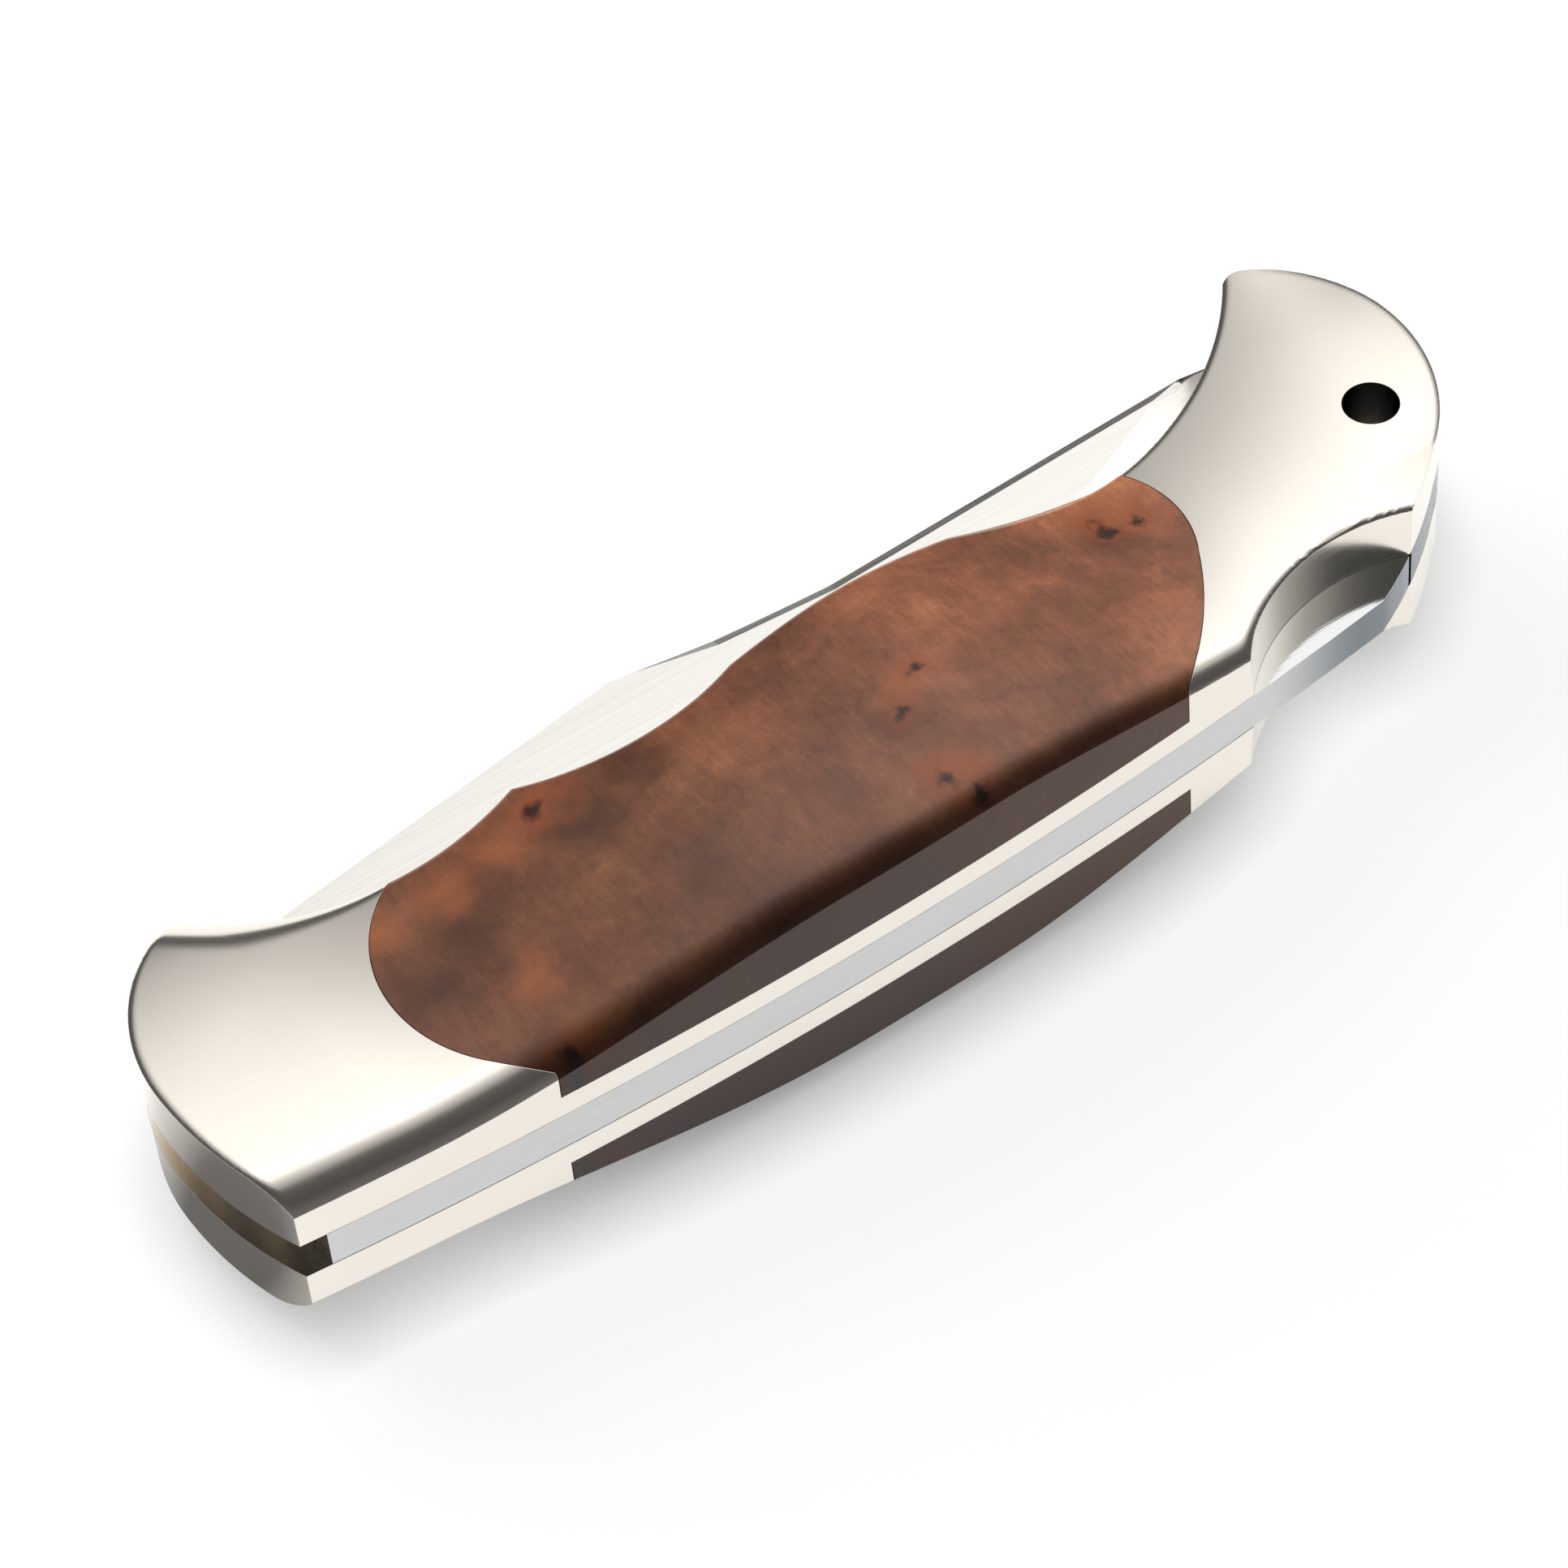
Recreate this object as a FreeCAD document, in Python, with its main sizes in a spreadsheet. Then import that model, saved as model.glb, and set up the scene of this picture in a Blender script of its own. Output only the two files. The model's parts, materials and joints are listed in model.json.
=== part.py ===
import FreeCAD
import Part
import Sketcher
import math
import os

# Folding pocket knife with a rear lock, closed, lying on its right side.
# X runs from the pivot end to the butt, Y from the back to the blade side, Z up through the thickness.
# All lengths in millimetres, angles in degrees.
SIZES = (
    ("handle_length", 110, "front end to butt"),
    ("handle_width", 33.6, "lowest point of the back to the tip of the beak"),
    ("blade_thickness", 3.2, "blade stock"),
    ("washer_thickness", 0.1, "bronze pivot washer"),
    ("side_play", 0.02, "blade to washer, each side"),
    ("liner_thickness", 1.95, "frame web under the wood"),
    ("front_rim", 4.85, "crease above the middle plane at the front end"),
    ("rear_rim", 5.3, "crease above the middle plane at the butt"),
    ("palm_swell", 3.2, "extra height of the crease at the middle of the grip"),
    ("roll_radius", 3.4, "rolled edge of the outer faces"),
    ("rim_tilt", 60, "slope of the rolled edge where it meets the flat walls"),
    ("crown_tilt", 6, "slope where the rolled edge meets the crown"),
    ("lip_width", 0.4, "how far the rolled edge runs on past the walls"),
    ("crown_rise", 0.4, "crown above the ends of the rolled edges"),
    ("cut_overrun", 6, "how far cutters run past the surface they cut"),
    ("notch_foot_radius", 15.3, "thumb notch at the liner's inner face"),
    ("notch_flare", 0.5, "thumb notch wider by this at its top"),
    ("pivot_radius", 2.3, "pivot pin"),
    ("pin_clearance", 0.03, "running fit on pins"),
    ("bar_pin_radius", 1.5, "pin of the lock bar"),
    ("rivet_radius", 0.9, "butt rivets"),
    ("lanyard_radius", 2.1, "lanyard hole"),
    ("land_radius", 8, "round of the tang that the nose rides on"),
    ("nose_clearance", 0.1, "nose of the lock bar to the tang"),
    ("hook_width", 3.2, "nose of the lock bar along the handle"),
    ("hook_drop", 0.9, "how far the nose falls into the tang's notch"),
    ("notch_clearance", 0.25, "dropped nose to the floor and rear wall of the tang's notch"),
    ("shoulder_gap", 0.2, "front of the lock bar to the blade's shoulder when open"),
    ("bar_relief", 0.35, "lock bar to tang behind the dropped nose"),
    ("tang_turn", 300, "where the round of the tang runs out into a straight"),
    ("bar_side_play", 0.05, "lock bar to frame, each side"),
    ("edge_thickness", 0.24, "blade at its cutting edge"),
    ("swedge_width", 0.8, "bevel along the back of the blade"),
    ("swedge_depth", 0.35, "bevel along the back of the blade"),
    ("tip_clearance", 0.5, "blade tip to butt spacer"),
    ("spring_thickness", 1.2, "leaf spring"),
    ("spring_side_play", 0.2, "leaf spring to frame, each side"),
    ("spring_gap", 0.05, "leaf spring tip to lock bar at rest"),
)

# Shares of handle_length and handle_width, the first from the front end, the second from the back.
spine_corner_shares = (0.0246, 0.0558)
front_apex_shares = (0, 0.4317)
front_point_shares = (0.0836, 0.8535)
first_groove_shares = (0.198, 0.645)
hump_shares = (0.3002, 0.665)
second_groove_shares = (0.3878, 0.6152)
belly_start_shares = (0.4626, 0.6459)
belly_shares = (0.6086, 0.7047)
belly_end_shares = (0.7473, 0.6584)
beak_sweep_shares = (0.8549, 0.7673)
beak_start_shares = (0.9316, 0.9911)
beak_tip_shares = (0.9393, 1)
beak_end_shares = (0.9471, 0.9925)
butt_end_shares = (1, 0.6674)
heel_start_shares = (0.9464, 0.3034)
heel_shares = (0.9033, 0.19)
heel_end_shares = (0.8586, 0.1065)
back_shares = (0.3786, 0)

inlay_front_back_shares = (0.2056, 0.0224)
inlay_front_shares = (0.1505, 0.3213)
inlay_front_blade_shares = (0.2037, 0.6429)
inlay_rear_blade_shares = (0.7719, 0.6703)
inlay_rear_shares = (0.7819, 0.5212)
inlay_turn_shares = (0.7664, 0.3541)
inlay_low_shares = (0.7318, 0.1871)
inlay_rear_back_shares = (0.688, 0.0483)

pivot_shares = (0.094, 0.4227)
bar_pin_shares = (0.48, 0.1125)
lanyard_shares = (0.9352, 0.4764)
lower_rivet_shares = (0.9425, 0.3661)
upper_rivet_shares = (0.9516, 0.7777)
notch_centre_shares = (0.8451, -0.2458)
bar_front_share = 0.0424
bar_rear_share = 0.8955
bar_turn_share = 0.6998
bar_inner_share = 0.2199
bar_rear_inner_share = 0.2706
spacer_front_share = 0.8992
spacer_top_share = 0.7121
spacer_step_shares = (0.9206, 0.8195)
slot_end_share = 0.9307
slot_share = 0.3064
spring_tip_share = 0.6907
spring_sag_share = 0.2545

shoulder_top_share = 0.0513
spine_break_shares = (0.417, 0.9195)
swedge_shares = (0.4936, 0.8896)
swedge_end_shares = (0.5812, 0.8687)
tip_shares = (0.9215, 0.909)
past_tip_shares = (1, 0.9183)
bevel_start_share = -0.25
belly_edge_shares = (0.7325, 0.4318)
edge_turn_shares = (0.5265, 0.2945)
edge_start_shares = (0.309, 0.2945)
plunge_shares = (0.2527, 0.2945)
plunge_side_shares = (0.2655, 0.497)
grind_start_shares = (0.309, 0.6)
grind_turn_shares = (0.5265, 0.62)
grind_belly_shares = (0.717, 0.706)
grind_end_shares = (0.86, 0.9)

# Sections of the domed outer form along the handle, and the bell of the palm swell.
swell_share = 0.4717
swell_front_share = 0.365
swell_rear_share = 0.3376
station_shares = (-0.03, 0.0246, 0.055, 0.0836, 0.105, 0.13, 0.16, 0.19, 0.22, 0.25, 0.276, 0.3002, 0.326, 0.357, 0.39,
                  0.4217, 0.46, 0.49, 0.5217, 0.565, 0.6, 0.635, 0.67, 0.71, 0.7473, 0.775, 0.803, 0.83, 0.8586,
                  0.885, 0.9085, 0.9316, 1.02)
roll_shares = (0.2, 0.4, 0.6, 0.8, 1)
crown_flat_share = 0.5
swell_flat_share = 0.05
end_ramp_share = 0.6
washer_share = 0.7
front_reach_shares = (0.074, 1.25)
corner_reach_share = 1.05
middle_reach_share = 0.952
rear_reach_shares = (0.53, 1.37)

doc = FreeCAD.newDocument("folding_knife")


def sheet(name, rows):
    """A sheet with one named cell per row."""
    made = doc.addObject("Spreadsheet::Sheet", name)
    for number, row in enumerate(rows, 1):
        made.set(f"A{number}", str(row[1]))
        made.setAlias(f"A{number}", row[0])
        made.set(f"B{number}", row[2])
    doc.recompute()
    return made


def along(share):
    """Place along the handle."""
    return f"Sizes.handle_length * ({share} - 0.5)"


def across(share):
    """Place across the handle."""
    return f"Sizes.handle_width * ({share} - 0.5)"


def at(shares):
    """Place in plan."""
    return along(shares[0]), across(shares[1])


sizes = sheet("Sizes", SIZES)
places = sheet("Places", (
    ("roll_rise", "=Sizes.roll_radius * (cos(Sizes.crown_tilt) - cos(Sizes.rim_tilt))", "height of the rolled edge"),
    ("roll_width", "=Sizes.roll_radius * (sin(Sizes.rim_tilt) - sin(Sizes.crown_tilt))", "plan width of the roll"),
    ("flat_tilt", f"=Sizes.rim_tilt + (Sizes.crown_tilt - Sizes.rim_tilt) * {roll_shares[0]}", "end of the outermost flat"),
    ("lip_drop", "=Sizes.lip_width * (cos(flat_tilt) - cos(Sizes.rim_tilt)) / (sin(Sizes.rim_tilt) - sin(flat_tilt))",
     "roll below the crease"),
    ("swell_rim", f"=Sizes.front_rim + (Sizes.rear_rim - Sizes.front_rim) * {swell_share} + Sizes.palm_swell",
     "highest crease"),
    ("mid_plane", "=swell_rim + roll_rise + Sizes.crown_rise", "middle plane above the floor"),
    ("gap_half", "=Sizes.blade_thickness / 2 + Sizes.washer_thickness + Sizes.side_play", "middle to liner"),
    ("inner_face", "=mid_plane + gap_half", "near liner's inner face"),
    ("wood_seat", "=inner_face + Sizes.liner_thickness", "near inlay's seat"),
    ("top_height", "=2 * mid_plane + Sizes.cut_overrun", "above everything"),
    ("pivot_x", "=" + along(pivot_shares[0]), "pivot"),
    ("pivot_y", "=" + across(pivot_shares[1]), "pivot"),
    ("washer_radius", f"=Sizes.land_radius * {washer_share}", "bronze pivot washer"),
    ("nose_radius", "=Sizes.land_radius + Sizes.nose_clearance", "nose of the lock bar about the pivot"),
    ("relief_radius", "=nose_radius + Sizes.hook_drop + Sizes.bar_relief", "lock bar about the pivot"),
    ("hook_front", "=" + along(bar_front_share), "front of the lock bar"),
    ("hook_rear", "=hook_front + Sizes.hook_width", "back of the nose"),
    ("hook_mid", "=(hook_front + hook_rear) / 2", "middle of the nose"),
    ("nose_front_y", "=pivot_y - sqrt(nose_radius ^ 2 - (hook_front - pivot_x) ^ 2)", "front corner of the nose"),
    ("nose_rear_y", "=pivot_y - sqrt(nose_radius ^ 2 - (hook_rear - pivot_x) ^ 2)", "rear corner of the nose"),
    ("nose_mid_y", "=pivot_y - sqrt(nose_radius ^ 2 - (hook_mid - pivot_x) ^ 2)", "middle of the nose"),
    ("relief_rear_y", "=pivot_y - sqrt(relief_radius ^ 2 - (hook_rear - pivot_x) ^ 2)", "root of the nose"),
    ("bar_inner_y", "=" + across(bar_inner_share), "inner edge of the lock bar"),
    ("relief_end_x", "=pivot_x + sqrt(relief_radius ^ 2 - (bar_inner_y - pivot_y) ^ 2)", "end of the round relief"),
    ("notch_sink", "=Sizes.hook_drop + Sizes.notch_clearance", "tang's notch below the riding nose"),
    ("shoulder_x", "=2 * pivot_x - hook_front + Sizes.shoulder_gap", "blade's shoulder, closed"),
    ("shoulder_top_y", "=2 * pivot_y - " + across(shoulder_top_share), "top of the shoulder, closed"),
    ("shoulder_foot_y", "=2 * pivot_y - nose_front_y - notch_sink", "foot of the shoulder"),
    ("notch_wall_x", "=2 * pivot_x - hook_rear - Sizes.notch_clearance", "rear wall of the tang's notch"),
    ("notch_wall_y", "=2 * pivot_y - nose_rear_y - notch_sink", "foot of the rear wall"),
    ("land_start_y", "=pivot_y + sqrt(Sizes.land_radius ^ 2 - (notch_wall_x - pivot_x) ^ 2)", "round begins"),
    ("flat_turn", "=270 - atan((nose_front_y - nose_rear_y) / Sizes.hook_width) / 1 deg", "way the tang's flat faces"),
    ("flat_reach", "=(hook_front - pivot_x) * cos(flat_turn) + (nose_front_y + notch_sink - pivot_y) * sin(flat_turn)",
     "tang's flat from the pivot"),
    ("flat_half", "=acos(flat_reach / Sizes.land_radius) / 1 deg", "half angle of the flat"),
    ("edge_y", "=" + across(edge_turn_shares[1]), "straight cutting edge"),
    ("tang_end_x", "=pivot_x + Sizes.land_radius * cos(Sizes.tang_turn)", "round ends"),
    ("tang_end_y", "=pivot_y + Sizes.land_radius * sin(Sizes.tang_turn)", "round ends"),
    ("ricasso_x", "=tang_end_x - (edge_y - tang_end_y) * tan(Sizes.tang_turn)", "straight meets the edge line"),
    ("tip_x", "=" + along(tip_shares[0]), "blade tip"),
    ("tip_y", "=" + across(tip_shares[1]), "blade tip"),
    ("tip_reach", "=sqrt((tip_x - pivot_x) ^ 2 + (tip_y - pivot_y) ^ 2) + Sizes.tip_clearance", "swept by the tip"),
    ("tip_turn", "=asin((tip_y - pivot_y) / (tip_reach - Sizes.tip_clearance)) / 1 deg", "direction of the tip"),
    ("slot_low_y", "=" + across(slot_share), "spring slot"),
    ("slot_high_y", "=slot_low_y + Sizes.spring_thickness", "spring slot"),
    ("spring_tip_y", "=bar_inner_y + Sizes.spring_gap", "spring tip"),
))


def number(text):
    """Value of an expression in the sheet's names."""
    return float(places.evalExpression(text))


def vector(point):
    """Plan point of two expressions."""
    return FreeCAD.Vector(number(point[0]), number(point[1]), 0)


def polar(angle, radius="Sizes.land_radius"):
    """Point about the blade's pivot."""
    return f"Places.pivot_x + {radius} * cos({angle})", f"Places.pivot_y + {radius} * sin({angle})"


def draw(name, start, steps, holes=(), body=None):
    """Closed sketch from start through steps of (end) or (middle, end), with round holes (centre, radius)."""
    made = body.newObject("Sketcher::SketchObject", name) if body else doc.addObject("Sketcher::SketchObject", name)
    pins = []
    ties = []
    runs = []
    here = start
    for step in steps:
        there = step[-1]
        if len(step) == 1:
            run = made.addGeometry(Part.LineSegment(vector(here), vector(there)), False)
        else:
            run = made.addGeometry(Part.Arc(vector(here), vector(step[0]), vector(there)), False)
            middle = made.addGeometry(Part.Point(vector(step[0])), True)
            pins.append((middle, 1, step[0]))
            ties.append(Sketcher.Constraint("PointOnObject", middle, 1, run))
        ends = [made.getPoint(run, end).distanceToPoint(vector(here)) for end in (1, 2)]
        first = 1 if ends[0] < ends[1] else 2
        pins.append((run, first, here))
        runs.append((run, first, 3 - first))
        here = there
    for before, after in zip(runs[-1:] + runs[:-1], runs):
        ties.append(Sketcher.Constraint("Coincident", before[0], before[2], after[0], after[1]))
    made.addConstraint(ties)
    for piece, end, point in pins:
        for kind, text in zip(("DistanceX", "DistanceY"), point):
            place = made.addConstraint(Sketcher.Constraint(kind, piece, end, number(text)))
            made.setExpression(f"Constraints[{place}]", text)
    for centre, radius in holes:
        ring = made.addGeometry(Part.Circle(vector(centre), FreeCAD.Vector(0, 0, 1), number(radius)), False)
        place = made.addConstraint(Sketcher.Constraint("Radius", ring, number(radius)))
        made.setExpression(f"Constraints[{place}]", radius)
        for kind, text in zip(("DistanceX", "DistanceY"), centre):
            place = made.addConstraint(Sketcher.Constraint(kind, ring, 3, number(text)))
            made.setExpression(f"Constraints[{place}]", text)
    return made


def prism(name, sketch, low, height):
    """Upright block of a sketch from a height."""
    sketch.setExpression("Placement.Base.z", low)
    made = doc.addObject("Part::Extrusion", name)
    made.Base = sketch
    made.DirMode = "Normal"
    made.Solid = True
    made.setExpression("LengthFwd", height)
    return made


def pad(name, low, height, start, steps, holes=()):
    """Body of one padded sketch."""
    body = doc.addObject("PartDesign::Body", name)
    sketch = draw(name + "_outline", start, steps, holes, body)
    plane = [item for item in body.Origin.OriginFeatures if item.Role == "XY_Plane"][0]
    sketch.AttachmentSupport = (plane, [""])
    sketch.MapMode = "FlatFace"
    sketch.setExpression("AttachmentOffset.Base.z", low)
    made = body.newObject("PartDesign::Pad", name + "_pad")
    made.Profile = sketch
    made.setExpression("Length", height)
    return body


def cylinder(name, centre, radius, low, height):
    """Upright cylinder."""
    made = doc.addObject("Part::Cylinder", name)
    made.setExpression("Radius", radius)
    made.setExpression("Height", height)
    made.setExpression("Placement.Base.x", centre[0])
    made.setExpression("Placement.Base.y", centre[1])
    made.setExpression("Placement.Base.z", low)
    return made


def cut(name, base, tool):
    """Base less tool."""
    made = doc.addObject("Part::Cut", name)
    made.Base = base
    made.Tool = tool
    return made


def common(name, *shapes):
    """What all the shapes share."""
    made = doc.addObject("Part::MultiCommon", name)
    made.Shapes = list(shapes)
    return made


def fuse(name, *shapes):
    """The shapes as one."""
    made = doc.addObject("Part::MultiFuse", name)
    made.Shapes = list(shapes)
    made.Refine = True
    return made


def mirror(name, source):
    """The far side's copy."""
    made = doc.addObject("Part::Mirroring", name)
    made.Source = source
    made.Normal = FreeCAD.Vector(0, 0, 1)
    made.setExpression("Base.z", "Places.mid_plane")
    return made


def tangent_round(apex, end):
    """Point halfway along the round that leaves the apex straight across the handle and runs to the end."""
    side = f"({along(end[0])} - ({along(apex[0])}))"
    rise = f"({across(end[1])} - ({across(apex[1])}))"
    radius = f"(({side} ^ 2 + {rise} ^ 2) / (2 * {side}))"
    bulge = f"sqrt(abs({radius}) ^ 2 - {rise} ^ 2 / 4) * {1 if end[0] > apex[0] else -1}"
    return f"{along(apex[0])} + {radius} - {bulge}", f"({across(end[1])} + {across(apex[1])}) / 2"


front_lower = tangent_round(front_apex_shares, spine_corner_shares)
front_upper = tangent_round(front_apex_shares, front_point_shares)
butt_upper = tangent_round(butt_end_shares, beak_end_shares)
butt_lower = tangent_round(butt_end_shares, heel_start_shares)

# Plan outline of the closed handle, round by round.
outline_steps = (
    (front_lower, at(front_apex_shares)),
    (front_upper, at(front_point_shares)),
    (at(first_groove_shares), at(hump_shares)),
    (at(second_groove_shares), at(belly_start_shares)),
    (at(belly_shares), at(belly_end_shares)),
    (at(beak_sweep_shares), at(beak_start_shares)),
    (at(beak_tip_shares), at(beak_end_shares)),
    (butt_upper, at(butt_end_shares)),
    (butt_lower, at(heel_start_shares)),
    (at(heel_shares), at(heel_end_shares)),
    (at(back_shares), at(spine_corner_shares)),
)
plan = draw("plan", at(spine_corner_shares), outline_steps)
plan_block = prism("plan_block", plan, "0", "Places.top_height")


def arc_between(first, middle, last):
    """Centre, radius and the two end directions of a round of the outline."""
    circle = Part.Arc(vector(at(first)), vector(middle), vector(at(last))).toShape().Curve
    turns = [math.degrees(math.atan2(*reversed((vector(at(end)) - circle.Center)[:2]))) for end in (first, last)]
    return circle.Center, circle.Radius, turns


def reach(share, rounds):
    """Share across the handle where a station meets the outline."""
    for first, middle, last in rounds:
        if min(first[0], last[0]) <= share <= max(first[0], last[0]):
            centre, radius, turns = arc_between(first, at(middle), last)
            rise = math.sqrt(radius ** 2 - (number(along(share)) - centre.x) ** 2)
            way = 1 if number(across(middle[1])) > centre.y else -1
            return (centre.y + way * rise) / number("Sizes.handle_width") + 0.5
    return None


back_rounds = (
    (spine_corner_shares, back_shares, heel_end_shares),
    (heel_end_shares, heel_shares, heel_start_shares),
)
blade_rounds = (
    (front_point_shares, first_groove_shares, hump_shares),
    (hump_shares, second_groove_shares, belly_start_shares),
    (belly_start_shares, belly_shares, belly_end_shares),
    (belly_end_shares, beak_sweep_shares, beak_start_shares),
)


def swell(share):
    """Share of the palm swell at a station."""
    span = swell_front_share if share < swell_share else swell_rear_share
    turn = max(0, abs(share - swell_share) - swell_flat_share) / (span - swell_flat_share)
    return math.cos(math.pi / 2 * turn) ** 2 if turn < 1 else 0


def roll(edge, way, level):
    """Points of a rolled edge from past the wall up to the crown, ground in narrow flats."""
    points = [(f"{edge} {'-' if way == '+' else '+'} Sizes.lip_width", f"{level} - Places.lip_drop")]
    for share in roll_shares:
        tilt = f"(Sizes.rim_tilt + (Sizes.crown_tilt - Sizes.rim_tilt) * {share})"
        points.append((f"{edge} {way} Sizes.roll_radius * (sin(Sizes.rim_tilt) - sin({tilt}))",
                       f"{level} + Sizes.roll_radius * (cos({tilt}) - cos(Sizes.rim_tilt))"))
    return points


def stand(sketch, share):
    """Sketch stood up across the handle at a share of its length."""
    sketch.Placement.Rotation = FreeCAD.Rotation(
        FreeCAD.Vector(0, 1, 0), FreeCAD.Vector(0, 0, 1), FreeCAD.Vector(1, 0, 0), "XYZ")
    sketch.setExpression("Placement.Base.x", along(share))
    return sketch


# Domed outer form of the near half, skinned over the stations.
sections = []
for station in station_shares:
    low = reach(station, back_rounds)
    high = reach(station, blade_rounds)
    if station == station_shares[0]:
        low, high = front_reach_shares
    if station == station_shares[1]:
        high = corner_reach_share
    if station == station_shares[2]:
        high = middle_reach_share
    if station == station_shares[-1]:
        low, high = rear_reach_shares
    level_share = swell_share if swell(station) == 1 else max(0, min(1, station))
    rim = (f"Places.mid_plane + Sizes.front_rim + (Sizes.rear_rim - Sizes.front_rim) * {level_share}"
           f" + Sizes.palm_swell * {swell(station)}")
    near = across(low)
    far = across(high)
    crown = f"{rim} + Places.roll_rise + Sizes.crown_rise"
    middle = f"({near} + {far}) / 2"
    spread = f"({far} - ({near})) * {crown_flat_share} / 2"
    rounds = [(f"{near} - Sizes.lip_width", "Places.inner_face")]
    rounds += roll(near, "+", rim)
    rounds += [(f"{middle} - {spread}", crown), (f"{middle} + {spread}", crown)]
    rounds += reversed(roll(far, "-", rim))
    rounds += [(f"{far} + Sizes.lip_width", "Places.inner_face")]
    section = draw(f"section_{len(sections) + 1}", rounds[0], [(point,) for point in rounds[1:] + rounds[:1]])
    sections.append(stand(section, station))
skin = doc.addObject("Part::Loft", "skin")
skin.Sections = sections
skin.Solid = True
skin.Ruled = True


def end_roll(name, first, middle, last, rim, extra_low, extra_high):
    """Ring that rolls the edge along a round of an end."""
    centre, radius, turns = arc_between(first, middle, last)
    start = min(turns) - extra_low
    sweep = max(turns) + extra_high - start
    if max(turns) - min(turns) > 180:
        start = max(turns) - extra_low
        sweep = min(turns) + 360 + extra_high - start
    ring = f"Sizes.handle_length * {radius / number('Sizes.handle_length')}"
    level = f"Places.mid_plane + {rim}"
    rounds = roll(ring, "-", level)
    ramp = f"({ring} - Places.roll_width) * {end_ramp_share}"
    rounds.append((f"{ring} - Places.roll_width - {ramp}",
                   f"{level} + Places.roll_rise + {ramp} * tan(Sizes.crown_tilt)"))
    rounds.append((f"{ring} - Places.roll_width - {ramp}", "Places.top_height"))
    rounds.append((f"{ring} + Sizes.lip_width + Sizes.cut_overrun", "Places.top_height"))
    rounds.append((f"{ring} + Sizes.lip_width + Sizes.cut_overrun", f"{level} - Places.lip_drop"))
    profile = draw(name + "_profile", rounds[0], [(point,) for point in rounds[1:] + rounds[:1]])
    heading = FreeCAD.Vector(math.cos(math.radians(start)), math.sin(math.radians(start)), 0)
    profile.Placement.Rotation = FreeCAD.Rotation(
        heading, FreeCAD.Vector(0, 0, 1), heading.cross(FreeCAD.Vector(0, 0, 1)), "XYZ")
    made = doc.addObject("Part::Revolution", name)
    made.Source = profile
    made.Axis = FreeCAD.Vector(0, 0, 1)
    made.Angle = sweep
    made.Solid = True
    middle_shares = (centre.x / number("Sizes.handle_length") + 0.5, centre.y / number("Sizes.handle_width") + 0.5)
    for word, text in zip(("x", "y"), at(middle_shares)):
        profile.setExpression("Placement.Base." + word, text)
        made.setExpression("Base." + word, text)
    return made


# Rings run past the corners of the handle by this many degrees.
corner_extra = 9
front_roll = fuse(
    "front_roll",
    end_roll("front_lower_roll", spine_corner_shares, front_lower, front_apex_shares, "Sizes.front_rim", 0, corner_extra),
    end_roll("front_upper_roll", front_apex_shares, front_upper, front_point_shares, "Sizes.front_rim", corner_extra, 0),
)
butt_roll = fuse(
    "butt_roll",
    end_roll("butt_upper_roll", beak_end_shares, butt_upper, butt_end_shares, "Sizes.rear_rim", 0, corner_extra),
    end_roll("butt_lower_roll", butt_end_shares, butt_lower, heel_start_shares, "Sizes.rear_rim", 0, 0),
)
half = cut("half", cut("half_rolled_in_front", common("half_blank", skin, plan_block), front_roll), butt_roll)

# Thumb notch over the rear of the lock bar, flared to the outside.
thumb_notch = doc.addObject("Part::Cone", "thumb_notch")
thumb_notch.setExpression("Radius1", "Sizes.notch_foot_radius")
thumb_notch.setExpression("Radius2", "Sizes.notch_foot_radius + Sizes.notch_flare * 2")
thumb_notch.setExpression("Height", "(Sizes.rear_rim - Places.gap_half) * 2")
thumb_notch.setExpression("Placement.Base.x", along(notch_centre_shares[0]))
thumb_notch.setExpression("Placement.Base.y", across(notch_centre_shares[1]))
thumb_notch.setExpression("Placement.Base.z", "Places.inner_face")

# Pocket of the wood, open to the back and to the blade side.
pocket_back = across(0) + " - Sizes.cut_overrun"
pocket_front = across(1) + " + Sizes.cut_overrun"
pocket_sketch = draw("pocket_outline", at(inlay_front_back_shares), (
    (at(inlay_front_shares), at(inlay_front_blade_shares)),
    ((along(inlay_front_blade_shares[0]), pocket_front),),
    ((along(inlay_rear_blade_shares[0]), pocket_front),),
    (at(inlay_rear_blade_shares),),
    (at(inlay_rear_shares), at(inlay_turn_shares)),
    (at(inlay_low_shares), at(inlay_rear_back_shares)),
    ((along(inlay_rear_back_shares[0]), pocket_back),),
    ((along(inlay_front_back_shares[0]), pocket_back),),
    (at(inlay_front_back_shares),),
))
pocket = prism("pocket", pocket_sketch, "Places.wood_seat", "Places.top_height")

# Pins and holes.
pivot = ("Places.pivot_x", "Places.pivot_y")
bar_pin = at(bar_pin_shares)
lanyard = at(lanyard_shares)
lower_rivet = at(lower_rivet_shares)
upper_rivet = at(upper_rivet_shares)
pivot_core = cylinder("pivot_core", pivot, "Sizes.pivot_radius", "0", "Places.top_height")
lower_core = cylinder("lower_core", lower_rivet, "Sizes.rivet_radius", "0", "Places.top_height")
upper_core = cylinder("upper_core", upper_rivet, "Sizes.rivet_radius", "0", "Places.top_height")
bar_pin_core = cylinder("bar_pin_core", bar_pin, "Sizes.bar_pin_radius", "0", "Places.wood_seat")
lanyard_core = cylinder("lanyard_core", lanyard, "Sizes.lanyard_radius", "0", "Places.top_height")


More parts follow.
